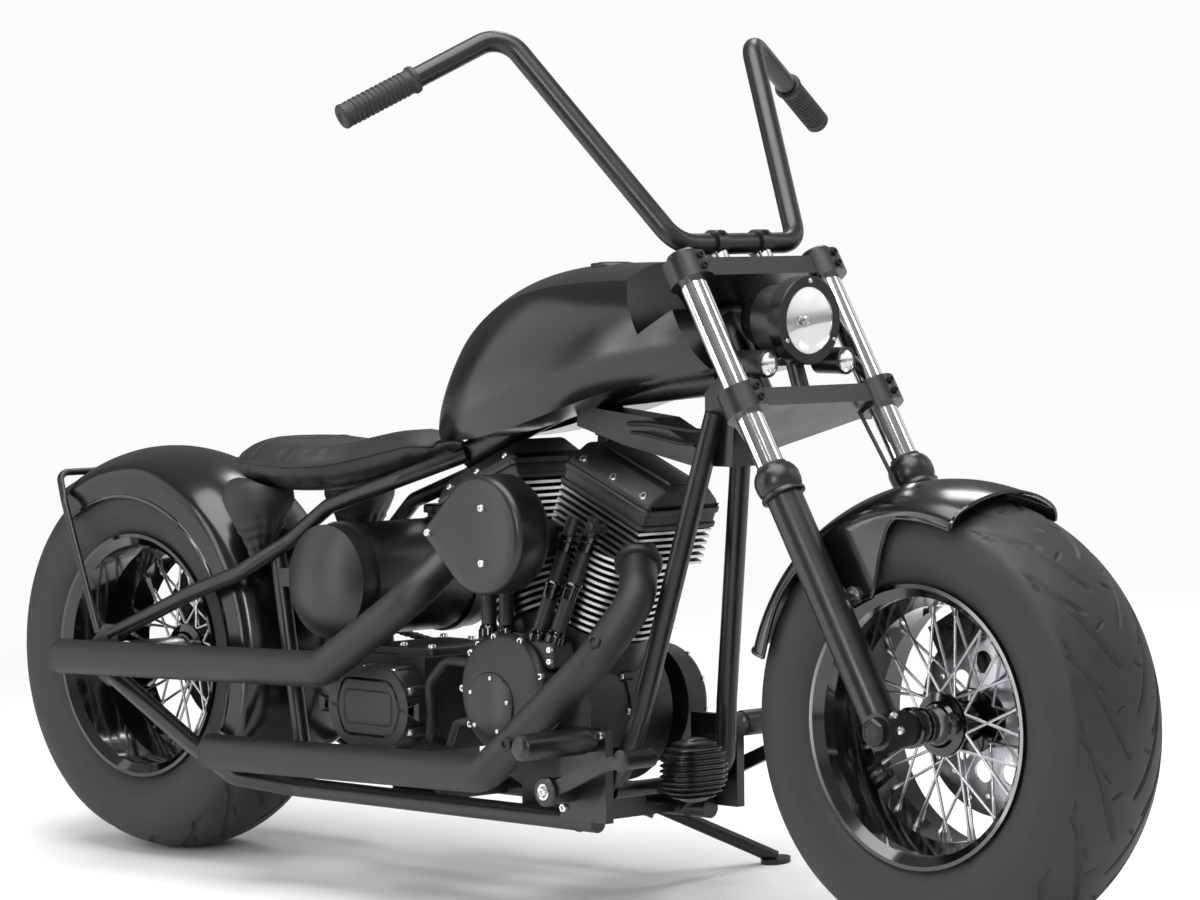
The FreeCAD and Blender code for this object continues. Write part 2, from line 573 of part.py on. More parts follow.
# ---------------------------------------------------------------- controls and small units
def add_controls(nodes):
    px, pz = PEG
    inside = -CONTROL_PLATE_IN - 8
    plate = block((px - 74, px + 26), (-CONTROL_PLATE_OUT, -CONTROL_PLATE_IN), (RAIL_Z + 4, pz + 16))
    foot = block((px - 20, px + 14), (-CONTROL_PLATE_IN - 2, -108), (pz - 44, pz - 14))
    peg = across(px, pz, -PEG_TIP, inside, PEG_R)
    hx, hz = PEDAL_PIVOT
    pivot = across(hx, hz, -PEDAL_OUT - 4, inside, 20)
    tx, tz = PEDAL_TOE
    arm = side_slab([(hx - 8, hz + 8), (hx + 8, hz - 10), (tx - 58, tz - 22), (tx + 2, tz - 10), (tx, tz + 8),
                     (tx - 66, tz - 2)], -PEDAL_OUT, -PEDAL_OUT + PEDAL_T)
    pad = across(tx, tz, -PEDAL_OUT - 22, -PEDAL_OUT + 40, 14)
    right = plate.fuse([foot, peg, pivot, arm, pad])
    nodes["right_control"] = right
    clear_of(nodes, "right_control", ["lower_rail_right", "downtube_right", "exhaust_lower"])
    nodes["left_control"] = mirrored(right)
    clear_of(nodes, "left_control", ["lower_rail_left", "downtube_left"])
    core = block((1206, 1262), (-50, 50), (178, 268))
    ribs = [block((1200, 1270), (-56, 56), (184 + 11 * k, 188 + 11 * k)) for k in range(8)]
    bracket = block((1182, 1206), (-30, 30), (184, 206))
    nodes["regulator"] = fuse([core] + ribs + [bracket])
    clear_of(nodes, "regulator", ["bearers"])


# ---------------------------------------------------------------- tank, seat, fender
def tank_section(x, z_low, z_high, half):
    foot = half * 0.82
    z_wide = z_low + 0.36 * (z_high - z_low)
    z_crown = z_low + 0.86 * (z_high - z_low)
    corners = [(-foot, z_low), (foot, z_low), ((half, z_wide), (half * 0.78, z_crown)),
               ((0, z_high), (-half * 0.78, z_crown)), ((-half, z_wide), (-foot, z_low))]
    return outline(corners, lambda y, z: vec(x, y, z)).OuterWire


def backbone_height(x):
    """Height of the backbone's line at X, its end runs carried on past its ends."""
    points = BACKBONE_LINE
    ahead = [i for i in range(len(points) - 1) if points[i + 1][0] < x]
    first = ahead[0] if ahead else len(points) - 2
    (x_a, z_a), (x_b, z_b) = points[first], points[first + 1]
    return z_b + (x - x_b) * (z_a - z_b) / (x_a - x_b)


def add_bodywork(nodes):
    tank_front = NECK[0] + 41
    rows = (   # share of the way from the rear end to the front, lowest and highest above the backbone, half width
        (0.0, 35, 65, 44), (0.091, 13, 147, 84), (0.247, -20, 196, 116),
        (0.471, -29, 197, 136), (0.724, -2, 187, 140), (1.0, 14, 147, 122))
    sections = []
    for share, low, high, half in rows:
        x = TANK_BACK + share * (tank_front - TANK_BACK)
        sections.append(tank_section(x, backbone_height(x) + low, backbone_height(x) + high, half))
    tank = Part.makeLoft(sections, True, False)
    above = plate_across_fork([(-146, -200), (200, -200), (200, 200), (-146, 200)], -78, 202)
    notch = plate_across_fork([(-140, -40), (200, -40), (200, 40), (-140, 40)], 60, 400)
    tunnel = side_slab(BACKBONE_LINE[:3] + [(700, 671), (700, 640), (tank_front + 15, 640),
                                            (tank_front + 15, BACKBONE_LINE[0][1])], -BACKBONE_R, BACKBONE_R)
    front = plate_across_fork([(-72, -200), (200, -200), (200, 200), (-72, 200)], 60, 600)
    nodes["fuel_tank"] = tank.cut([above, notch, tunnel, front])
    clear_of(nodes, "fuel_tank", ["backbone", "front_rocker_box", "rear_rocker_box"])
    plan = outline([(410, -150), ((260, 0), (410, 150)), ((500, 132), (580, 92)), (690, 58),
                    ((700, 0), (690, -58)), (580, -92), ((500, -132), (410, -150))],
                   lambda x, y: vec(x, y, 600)).extrude(vec(0, 0, 160))
    side = side_slab([(255, 654), (300, 634), ((410, 624), (520, 632)), (614, 661), (686, 682), (705, 692),
                      (705, 716), ((661, 733), (596, 722)), ((510, 708), (430, 711)), ((330, 711), (255, 686))],
                     -160, 160)
    nodes["seat_pad"] = plan.common(side)
    nodes["rear_fender"] = fender_solid(REAR_AXLE, REAR_SKIRT, -24, 123)
    boot_x, boot_y = SEAT_BOOT
    steps = []
    for (low, wide_low), (high, wide_high) in zip(SEAT_BOOT_RINGS, SEAT_BOOT_RINGS[1:]):
        steps.append(cone(vec(boot_x, -boot_y, low), vec(boot_x, -boot_y, high), wide_low, wide_high))
    room = nodes["seat_pad"].copy()
    room.translate(vec(-SOFT_GAP, -SOFT_GAP, -SOFT_GAP))
    nodes["seat_boot"] = pair(fuse(steps).cut([nodes["seat_pad"], room]))
    clear_of(nodes, "seat_boot", ["seat_posts", "top_rail_right", "top_rail_left"])
    outside = across(0, TYRE_R, -300, 300, FENDER_OUT_R)
    hoop_r = FENDER_OUT_R + 6
    top = math.radians(122)
    top_x, top_z = hoop_r * math.cos(top), TYRE_R + hoop_r * math.sin(top)
    nodes["fender_strut"] = bar(
        [(-28, -STAY_HALF + 4, TYRE_R + 40), (-138, -134, TYRE_R + 258), (top_x, -104, top_z), (top_x, 104, top_z),
         (-138, 134, TYRE_R + 258), (-28, STAY_HALF - 4, TYRE_R + 40)], 6, 34)
    clear_of(nodes, "fender_strut", ["rear_fender", "axle_plates"])
    ox, oz = OIL_TANK
    barrel = across(ox, oz, -OIL_TANK_HALF, OIL_TANK_HALF, OIL_TANK_R)
    bulge = 20.0
    dome_r = (OIL_TANK_R ** 2 + bulge ** 2) / (2 * bulge)
    domes = []
    for sign in (-1, 1):
        ball = Part.makeSphere(dome_r, vec(ox, sign * (OIL_TANK_HALF + bulge - dome_r), oz))
        lo, hi = sorted((sign * OIL_TANK_HALF, sign * (OIL_TANK_HALF + bulge + 1)))
        domes.append(ball.common(across(ox, oz, lo, hi, OIL_TANK_R)))
    nodes["oil_tank"] = fuse([barrel] + domes)
    straps = []
    for y in (-106, 106):
        ring = across(ox, oz, y - 9, y + 9, OIL_TANK_R + 4)
        ring = ring.fuse(block((392, 480), (y - 9, y + 9), (470, 500)))
        straps.append(ring.cut(across(ox, oz, y - 10, y + 10, OIL_TANK_R)))
    nodes["seat_posts"] = nodes["seat_posts"].fuse(straps)
    nodes["seat_posts"] = nodes["seat_posts"].cut(outside)


# ---------------------------------------------------------------- rear end
def add_rear_end(nodes):
    nut = STAY_HALF + AXLE_PLATE_T / 2
    axle = across(0, TYRE_R, -nut - 10, nut + 10, AXLE_R)
    nuts = [across(0, TYRE_R, -nut - 8, -nut, 21), across(0, TYRE_R, nut, nut + 8, 21)]
    plate_in = STAY_HALF - AXLE_PLATE_T / 2
    sleeves = [across(0, TYRE_R, -plate_in, -REAR_HUB_HALF - 0.5, 20),
               across(0, TYRE_R, SPROCKET_Y + SPROCKET_T / 2 + 0.5, plate_in, 20)]
    nodes["rear_axle"] = fuse([axle] + nuts + sleeves)
    clear_of(nodes, "rear_axle", ["axle_plates"])
    nodes["rear_axle"] = nodes["rear_axle"].fuse(axle)
    clear_of(nodes, "axle_plates", ["rear_axle"])
    gx, gz = GEAR_SHAFT
    gap = TRACK_GAP + 0.2
    r_rear, r_front = SPROCKET_R + gap, FRONT_SPROCKET_R + gap

    def loop(grow):
        span = math.hypot(gx, gz - TYRE_R)
        aim = math.atan2(gz - TYRE_R, gx)
        open_a = math.acos((r_rear - r_front) / span)
        marks = []
        for centre, r, a in (((0, TYRE_R), r_rear + grow, aim - open_a), ((gx, gz), r_front + grow, aim - open_a),
                             ((gx, gz), r_front + grow, aim), ((gx, gz), r_front + grow, aim + open_a),
                             ((0, TYRE_R), r_rear + grow, aim + open_a), ((0, TYRE_R), r_rear + grow, aim + math.pi)):
            marks.append((centre[0] + r * math.cos(a), centre[1] + r * math.sin(a)))
        corners = [marks[0], marks[1], (marks[2], marks[3]), marks[4], (marks[5], marks[0])]
        return side_slab(corners, SPROCKET_Y - CHAIN_W / 2, SPROCKET_Y + CHAIN_W / 2)

    nodes["final_chain"] = loop(CHAIN_H).cut(loop(0.0))
    a = math.radians(142)
    cx, cz = 132 * math.cos(a), TYRE_R + 132 * math.sin(a)
    body = block((-34, 34), (REAR_DISC_Y - 15, REAR_DISC_Y + 15), (-24, 30))
    slot = block((-60, 60), (REAR_DISC_Y - 5, REAR_DISC_Y + 5), (-40, 14))
    caliper = body.cut(slot)
    caliper.Placement = FreeCAD.Placement(vec(cx, 0, cz), FreeCAD.Rotation(vec(0, 1, 0), 90 - 142))
    arm = bar([(cx + 2, REAR_DISC_Y + 15, cz + 2), (cx + 10, plate_in - 4, cz - 4), (-24, plate_in - 4, TYRE_R + 18)], 7, 8)
    nodes["rear_caliper"] = caliper.fuse(arm)
    clear_of(nodes, "rear_caliper", ["axle_plates", "rear_axle", "final_chain"])


# ---------------------------------------------------------------- front end
def bar_corner(name):
    ahead, left, up = BAR_CORNERS[name]
    return vec(TOP_CLAMP[0] + ahead, left, TOP_CLAMP[1] + up)


def clamp_plate(down, thickness, collar):
    plate = plate_across_fork([(16, -150), (16, 150), (-18, 168), (-STEM_OFFSET - 26, 26),
                               (-STEM_OFFSET - 26, -26), (-18, -168)], down, thickness)
    pieces = [cyl(fork_point(down - thickness / 2, -STEM_OFFSET), fork_point(down + thickness / 2, -STEM_OFFSET),
                  STEM_BOSS_R)]
    for y in (-FORK_HALF, FORK_HALF):
        pieces.append(cyl(fork_point(down - collar / 2, 0, y), fork_point(down + collar / 2, 0, y), FORK_COLLAR_R))
    return plate.fuse(pieces)


def add_front_end(nodes):
    tube_top = -CLAMP_T / 2 - 6
    tubes = [cyl(fork_point(tube_top, 0, y), fork_point(LEG_TOP_DOWN, 0, y), FORK_TUBE_R)
             for y in (-FORK_HALF, FORK_HALF)]
    nodes["fork_tubes"] = Part.makeCompound(tubes)
    stem = cyl(fork_point(LOWER_CLAMP_DOWN, -STEM_OFFSET), fork_point(-CLAMP_T / 2 - 6, -STEM_OFFSET), STEM_R)
    nut = cyl(fork_point(-CLAMP_T / 2, -STEM_OFFSET), fork_point(-CLAMP_T / 2 - 14, -STEM_OFFSET), 19)
    nodes["lower_clamp"] = clamp_plate(LOWER_CLAMP_DOWN, CLAMP_T, CLAMP_T + 12).fuse(stem)
    nodes["top_clamp"] = clamp_plate(0, CLAMP_T, CLAMP_T + 8).fuse(nut)
    clear_of(nodes, "lower_clamp", ["fork_tubes"])
    clear_of(nodes, "top_clamp", ["fork_tubes", "lower_clamp"])
    leg_end = FORK_LENGTH + LEG_BELOW_AXLE
    leg = cyl(fork_point(LEG_TOP_DOWN, 0, -FORK_HALF), fork_point(leg_end, 0, -FORK_HALF), FORK_LEG_R)
    collar = cyl(fork_point(LEG_TOP_DOWN, 0, -FORK_HALF), fork_point(LEG_TOP_DOWN + 26, 0, -FORK_HALF), 31)
    foot = across(FRONT_AXLE[0], TYRE_R, -FORK_HALF - FORK_FOOT, -FORK_HALF + FORK_FOOT, FORK_LEG_R)
    leg = leg.fuse([collar, foot])
    leg = leg.cut(across(FRONT_AXLE[0], TYRE_R, -FORK_HALF - 60, -FORK_HALF + 60, AXLE_R))
    leg_in, leg_out = FORK_HALF - FORK_FOOT, FORK_HALF + FORK_FOOT
    axle = across(FRONT_AXLE[0], TYRE_R, -leg_out - 12, leg_out + 12, AXLE_R)
    nuts = [across(FRONT_AXLE[0], TYRE_R, -leg_out - 9, -leg_out, 20),
            across(FRONT_AXLE[0], TYRE_R, leg_out, leg_out + 9, 20)]
    sleeves = [across(FRONT_AXLE[0], TYRE_R, -leg_in, -FRONT_HUB_HALF - 0.5, 20),
               across(FRONT_AXLE[0], TYRE_R, FRONT_DISC_Y + 3, leg_in, 20)]
    nodes["front_axle"] = fuse([axle] + nuts + sleeves)

    low, high, end = bar_corner("low"), bar_corner("high"), bar_corner("end")
    grip_run = (end - high).normalize()
    grip_from = end - grip_run * GRIP_L
    route = [grip_from, high, low]
    route = [(p.x, -p.y, p.z) for p in route] + [(p.x, p.y, p.z) for p in route[::-1]]
    tube = bar(route, BAR_R, BAR_BEND)
    risers = []
    for y in (-RISER_Y, RISER_Y):
        foot_at = fork_point(-CLAMP_T / 2, -13, y)
        risers.append(cyl(foot_at, vec(low.x, y, low.z), RISER_W / 2))
        risers.append(across(low.x, low.z, y - RISER_W / 2, y + RISER_W / 2, BAR_R + 5))
    nodes["handlebar"] = tube.fuse(risers)
    clear_of(nodes, "handlebar", ["top_clamp"])
    nodes["grips"] = pair(cyl(grip_from, end, GRIP_R))

    hx, hz = TOP_CLAMP[0] + 108.3, TOP_CLAMP[1] - 73.8
    bucket = cone(vec(hx - 108, 0, hz), vec(hx - 70, 0, hz), 34, 52)
    bucket = bucket.fuse([cyl(vec(hx - 70, 0, hz), vec(hx - 8, 0, hz), 52), cyl(vec(hx - 22, 0, hz), vec(hx, 0, hz), 59)])
    bucket = bucket.cut(cyl(vec(hx - 10, 0, hz), vec(hx + 1, 0, hz), 50))
    post = cyl(vec(hx - 38, 0, hz - 40), fork_point(LOWER_CLAMP_DOWN - CLAMP_T / 2 + 8, -14, 0), 13)
    lamps, glasses = [], [cyl(vec(hx - 10, 0, hz), vec(hx - 2, 0, hz), 49.7)]
    for y in (-84, 84):
        lx, lz = hx - 4, hz - 62
        lamps.append(cyl(vec(lx - 54, y, lz), vec(lx, y, lz), 20).cut(cyl(vec(lx - 7, y, lz), vec(lx + 2, y, lz), 17)))
        lamps.append(cyl(vec(lx - 38, y, lz), vec(lx - 38, 0, lz + 14), 6))
        glasses.append(cyl(vec(lx - 7, y, lz), vec(lx - 1, y, lz), 16.7))
    nodes["headlight"] = fuse([bucket, post] + lamps)
    nodes["lamp_glasses"] = Part.makeCompound(glasses)
    clear_of(nodes, "headlight", ["lower_clamp"])

    fender = fender_solid(FRONT_AXLE, FRONT_SKIRT, 73, 163)
    ear_corners = []
    skirt_r = FENDER_IN_R - FENDER_CROWN - FRONT_SKIRT
    # how far below the skirt's edge, as a share of the ear's reach, and the angle about the axle
    rows = ((-0.04, 94), (-0.04, 121), (0.56, 122), (0.95, 121), (1.0, 114), (0.89, 106), (0.52, 99))
    for share, a in rows:
        r = skirt_r - share * FRONT_EAR
        ear_corners.append((FRONT_AXLE[0] + r * math.cos(math.radians(a)), TYRE_R + r * math.sin(math.radians(a))))
    ear = side_slab(ear_corners, -FENDER_HALF - FENDER_T, -FENDER_HALF)
    nodes["front_fender"] = fender.fuse([ear, mirrored(ear)])
    lug_down = FORK_LENGTH - (skirt_r - 0.855 * FRONT_EAR)
    lug_a = fork_point(lug_down, 22, -FORK_HALF + 4)
    lug_b = fork_point(lug_down, 22, -FENDER_HALF - FENDER_T)
    lug = cyl(lug_a, lug_b, 8)
    nodes["fork_lowers"] = pair(leg.fuse(lug))
    a = math.radians(118)
    cx, cz = FRONT_AXLE[0] + 138 * math.cos(a), TYRE_R + 138 * math.sin(a)
    body = block((-46, 46), (FRONT_DISC_Y - 18, FRONT_DISC_Y + 22), (-26, 30))
    slot = block((-60, 60), (FRONT_DISC_Y - 6, FRONT_DISC_Y + 6), (-40, 14))
    caliper = body.cut(slot)
    caliper.Placement = FreeCAD.Placement(vec(cx, 0, cz), FreeCAD.Rotation(vec(0, 1, 0), 90 - 118))
    nodes["front_caliper"] = caliper
    clear_of(nodes, "front_caliper", ["fork_lowers", "front_axle"])
    # from under the lower clamp down the inside of the leg
    rows = ((LOWER_CLAMP_DOWN + 19.5, -8.1, 100), (LEG_TOP_DOWN - 5, -2.7, 102),
            (FORK_LENGTH - 323.4, -9.9, 118.5), (FORK_LENGTH - 229.1, -7.8, 118.5))
    hose = [fork_point(*row) for row in rows]
    hose.append(vec(cx, 104, cz + 30))
    nodes["brake_hose"] = bar(hose, 3.0, 60)
    clear_of(nodes, "brake_hose", ["lower_clamp", "fork_lowers", "front_fender", "front_caliper"])


# ---------------------------------------------------------------- wheels
def add_wheels(nodes):
    nodes["front_tyre"] = tyre_solid(FRONT_AXLE)
    nodes["front_rim"] = rim_solid(FRONT_AXLE, 0.0)
    nodes["front_spokes"] = laced_hub(FRONT_AXLE, FRONT_HUB_HALF, 0.0, FRONT_FLANGE_HALF)
    nodes["front_disc"] = disc_solid(FRONT_AXLE, FRONT_DISC_Y, FRONT_HUB_HALF - 10)
    nodes["rear_tyre"] = tyre_solid(REAR_AXLE)
    nodes["rear_rim"] = rim_solid(REAR_AXLE, REAR_LACE_Y)
    nodes["rear_spokes"] = laced_hub(REAR_AXLE, REAR_HUB_HALF, REAR_LACE_Y, REAR_FLANGE_HALF)
    nodes["rear_sprocket"] = sprocket_solid(REAR_AXLE)
    disc = across(0, TYRE_R, REAR_DISC_Y - 2.5, REAR_DISC_Y + 2.5, REAR_DISC_R)
    hole = across(0, TYRE_R, 60, 200, AXLE_R + RUN_GAP)
    nodes["rear_sprocket"] = nodes["rear_sprocket"].fuse(disc).cut(hole)
    clear_of(nodes, "rear_sprocket", ["rear_spokes"])
    clear_of(nodes, "front_disc", ["front_spokes"])


# ---------------------------------------------------------------- side stand
def floor_height(y):
    """Height of the floor in the upright layout, under a point that far to the left."""
    lean = math.radians(LEAN)
    return (y * math.sin(lean) - RAISE) / math.cos(lean)


def stand_axis():
    foot = vec(STAND_FOOT[0], STAND_FOOT[1], floor_height(STAND_FOOT[1]))
    leg = foot - vec(*STAND_PIVOT)
    return leg.cross(vec(*STAND_STOWED)).normalize()


def add_side_stand(nodes):
    lean = math.radians(LEAN)
    up = vec(0, -math.sin(lean), math.cos(lean))
    pivot = vec(*STAND_PIVOT)
    foot = vec(STAND_FOOT[0], STAND_FOOT[1], floor_height(STAND_FOOT[1]))
    axis = stand_axis()
    leg = cyl(pivot, foot + up * STAND_PAD_T, STAND_R)
    pad = cyl(foot, foot + up * STAND_PAD_T, STAND_PAD_R)
    eye = cyl(pivot - axis * 11, pivot + axis * 11, 18)
    hole = cyl(pivot - axis * 30, pivot + axis * 30, 6 + RUN_GAP)
    stand = leg.fuse([pad, eye]).cut(hole)
    below = Part.makeBox(400, 400, 60, vec(foot.x - 200, -200, -60))
    below.Placement = FreeCAD.Placement(vec(0, foot.y, foot.z), FreeCAD.Rotation(vec(1, 0, 0), LEAN))
    nodes["side_stand"] = stand.cut(below)
    ears = [cyl(pivot + axis * 12.3, pivot + axis * 21, 17), cyl(pivot - axis * 21, pivot - axis * 12.3, 17)]
    pin = cyl(pivot - axis * 22, pivot + axis * 22, 6)
    web = block((STAND_PIVOT[0] - 30, STAND_PIVOT[0] + 24), (RAIL_HALF + 4, RAIL_HALF + 22), (122, 172))
    web = web.cut(cyl(pivot - axis * 12.3, pivot + axis * 12.3, 26))
    nodes["lower_rail_left"] = nodes["lower_rail_left"].fuse([web, pin] + ears)


# ---------------------------------------------------------------- the whole machine
def build():
    """All pieces in the upright layout, by node name."""
    nodes = {}
    add_frame(nodes)
    add_engine(nodes)
    add_exhausts(nodes)
    add_controls(nodes)
    add_bodywork(nodes)
    add_lines(nodes)
    add_rear_end(nodes)
    add_front_end(nodes)
    add_wheels(nodes)
    add_side_stand(nodes)
    return nodes


def park(nodes):
    """Lean every piece onto the stand and put the origin under the middle of the machine."""
    leaned = FreeCAD.Placement(vec(0, 0, RAISE), FreeCAD.Rotation(vec(1, 0, 0), -LEAN))
    for shape in nodes.values():
        shape.Placement = leaned * shape.Placement
    box = Part.makeCompound(list(nodes.values())).BoundBox
    shift = vec(-(box.XMin + box.XMax) / 2, -(box.YMin + box.YMax) / 2, 0)
    for shape in nodes.values():
        shape.translate(shift)
    return FreeCAD.Placement(shift, FreeCAD.Rotation()) * leaned


os.makedirs("parts", exist_ok=True)
NODES = build()
PARKED = park(NODES)          # from the upright layout to the parked one
for node, shape in NODES.items():
    shape.exportStep("parts/" + node + ".step")
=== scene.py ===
import json
import math

import bmesh
import bpy
import numpy as np
from mathutils import Matrix


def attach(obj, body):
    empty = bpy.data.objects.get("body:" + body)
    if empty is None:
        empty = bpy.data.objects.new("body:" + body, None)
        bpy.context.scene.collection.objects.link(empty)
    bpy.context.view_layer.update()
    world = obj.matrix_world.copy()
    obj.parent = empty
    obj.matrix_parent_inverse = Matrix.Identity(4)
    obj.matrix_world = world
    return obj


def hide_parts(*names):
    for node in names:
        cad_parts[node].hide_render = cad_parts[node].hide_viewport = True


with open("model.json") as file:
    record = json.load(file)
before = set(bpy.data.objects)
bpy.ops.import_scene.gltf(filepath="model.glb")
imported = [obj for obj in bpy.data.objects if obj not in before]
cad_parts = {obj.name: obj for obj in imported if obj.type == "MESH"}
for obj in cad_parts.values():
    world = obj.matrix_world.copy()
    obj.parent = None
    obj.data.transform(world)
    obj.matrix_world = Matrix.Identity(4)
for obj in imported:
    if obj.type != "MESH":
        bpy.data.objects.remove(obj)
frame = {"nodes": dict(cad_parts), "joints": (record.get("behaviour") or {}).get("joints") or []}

# Looks of a hardtail chopper motorcycle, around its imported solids. Lengths are in millimetres in the
# upright layout: X forward from the rear axle, Y to the rider's left, Z up from the floor. placed() leans
# and moves points into the frame of the parked machine, in metres.

bl_info = {
    "name": "Chopper motorcycle looks",
    "version": (1, 0, 0),
    "blender": (4, 5, 0),
    "location": "View3D > Sidebar > Chopper",
    "description": "Finishes and fine pieces for a hardtail chopper motorcycle",
    "category": "Object",
}

# ---------------------------------------------------------------- places taken from the frame
JOINTS = {joint["name"]: joint for joint in frame["joints"]}
TYRE_R = 332.0
WHEELBASE = 1772.0
ACROSS = np.array(JOINTS["rear_wheel_spin"]["axis"])
FORWARD = np.array([1.0, 0.0, 0.0])
UPRIGHT = np.cross(FORWARD, ACROSS)
BASIS = np.array([FORWARD, ACROSS, UPRIGHT])
REAR_HUB = np.array(JOINTS["rear_wheel_spin"]["pos_m"])
RAKE = math.radians(30.7)
DOWN = np.array([math.sin(RAKE), 0.0, -math.cos(RAKE)])
AHEAD = np.array([math.cos(RAKE), 0.0, math.sin(RAKE)])
FORK_LENGTH = 763.8
AXLE_LEAD = 9.75
TOP_CLAMP = np.array([WHEELBASE, 0.0, TYRE_R]) - DOWN * FORK_LENGTH - AHEAD * AXLE_LEAD
CRANK = np.array([982.0, 0.0, 300.0])
SHAFT = np.array([655.0, 0.0, 300.0])      # the gearbox's shaft, with the clutch and the front sprocket
X, Y, Z = np.eye(3)


def placed(points):
    """Upright-layout millimetres to parked metres: lean about the contact line, raise and shift."""
    points = np.asarray(points, float)
    return REAR_HUB + ((points - (0.0, 0.0, TYRE_R)) / 1000.0) @ BASIS


def standing(right, up, at):
    """Matrix of an object whose X is right and whose Y is up, at a point; its -Z looks ahead."""
    rows = np.stack([right, up, np.cross(right, up), at], 1)
    return Matrix([*rows.tolist(), [0.0, 0.0, 0.0, 1.0]])


def fork(down, ahead=0.0, y=0.0):
    """Point at a distance down the fork line from the top clamp, ahead of it and to the left."""
    return TOP_CLAMP + DOWN * down + AHEAD * ahead + Y * y


# ---------------------------------------------------------------- surfaces as arrays
def unit(vectors):
    vectors = np.asarray(vectors, float)
    return vectors / np.linalg.norm(vectors, axis=-1, keepdims=True)


def polar(centre, radius, angle):
    """Points of a plane at a radius and an angle about a centre."""
    return np.asarray(centre) + np.stack([radius * np.cos(angle), radius * np.sin(angle)], -1)


def signed(values, power):
    """Values raised to a power, each with its own sign."""
    return np.sign(values) * np.abs(values) ** power


def arc3(start, middle, end, count):
    """Points on the circle through three points of a plane, from the first to the last."""
    (ax, ay), (bx, by), (cx, cy) = start, middle, end
    d = 2 * (ax * (by - cy) + bx * (cy - ay) + cx * (ay - by))
    a2, b2, c2 = ax * ax + ay * ay, bx * bx + by * by, cx * cx + cy * cy
    centre = np.array([a2 * (by - cy) + b2 * (cy - ay) + c2 * (ay - by),
                       a2 * (cx - bx) + b2 * (ax - cx) + c2 * (bx - ax)]) / d
    radius = math.hypot(ax - centre[0], ay - centre[1])
    angles = np.unwrap([math.atan2(p[1] - centre[1], p[0] - centre[0]) for p in (start, middle, end)])
    return polar(centre, radius, np.linspace(angles[0], angles[2], count))


def step(low, high, value):
    """Smooth rise from 0 at low to 1 at high."""
    t = np.clip((value - low) / (high - low), 0, 1)
    return t * t * (3 - 2 * t)


def basis_for(axis):
    """Two unit vectors square to an axis and to each other."""
    axis = unit(axis)
    first = unit(np.cross(axis, X if abs(axis[0]) < 0.8 else Y))
    return first, np.cross(axis, first)


def surface(grid, round_u=False, round_v=False, cap_u=False):
    """Faces over an (m, n, 3) grid of points; round_ joins last to first, cap_u closes both end rings."""
    m, n = grid.shape[:2]
    index = np.arange(m * n).reshape(m, n)
    if round_u:
        index = np.vstack([index, index[:1]])
    if round_v:
        index = np.hstack([index, index[:, :1]])
    quads = np.stack([index[:-1, :-1], index[:-1, 1:], index[1:, 1:], index[1:, :-1]], -1).reshape(-1, 4)
    faces = quads.tolist()
    if cap_u:
        faces.append(np.arange(n)[::-1].tolist())
        faces.append(((m - 1) * n + np.arange(n)).tolist())
    return grid.reshape(-1, 3), faces


def joined(shapes):
    """One (points, faces) from several."""
    points, faces, start = [], [], 0
    for shape_points, shape_faces in shapes:
        points.append(shape_points)
        faces += [[i + start for i in face] for face in shape_faces]
        start += len(shape_points)
    return np.vstack(points), faces


def both_sides(shape):
    """A shape and its mirror image across the machine."""
    points, faces = shape
    return joined([shape, (points * (1, -1, 1), [face[::-1] for face in faces])])


def turned(profile, centre=(0, 0, 0), axis=Z, count=48, closed=False):
    """Profile of (radius, distance along the axis) points turned about the axis: centre + t axis + r ring.

    The profile's ends are closed with flat faces, or closed joins its last point to its first.
    """
    profile = np.asarray(profile, float)
    a, b = basis_for(axis)
    angle = np.arange(count) * 2 * math.pi / count
    ring = np.cos(angle)[:, None] * a + np.sin(angle)[:, None] * b
    grid = np.asarray(centre) + profile[:, 1, None, None] * unit(axis) + profile[:, 0, None, None] * ring
    return surface(grid, round_u=closed, round_v=True, cap_u=not closed)


def sweep(path, radius, count, hint, closed=False):
    """Round section carried along a path, square to its tangent; hint is a way that the path never runs."""
    path = np.asarray(path, float)
    run = np.roll(path, -1, 0) - np.roll(path, 1, 0) if closed else np.gradient(path, axis=0)
    tangent = unit(run)
    side = unit(np.cross(tangent, hint))
    top = np.cross(tangent, side)
    angle = (np.arange(count) * 2 * math.pi / count)[:, None]
    grid = path[:, None] + radius * (np.cos(angle) * side[:, None] + np.sin(angle) * top[:, None])
    return surface(grid, round_u=closed, round_v=True, cap_u=not closed)


def curve_through(points, steps=8):
    """Smooth path through points: uniform Catmull-Rom, each span a cubic of its four neighbours."""
    p = np.asarray(points, float)
    p = np.vstack([2 * p[0] - p[1], p, 2 * p[-1] - p[-2]])
    t = (np.arange(steps) / steps)[None, :, None]
    a, b, c, d = (p[i:len(p) - 3 + i, None] for i in range(4))
    square, cube = 2 * a - 5 * b + 4 * c - d, 3 * b - a - 3 * c + d
    spans = 0.5 * (2 * b + (c - a) * t + square * t ** 2 + cube * t ** 3)
    return np.vstack([spans.reshape(-1, p.shape[1]), p[-2:-1]])


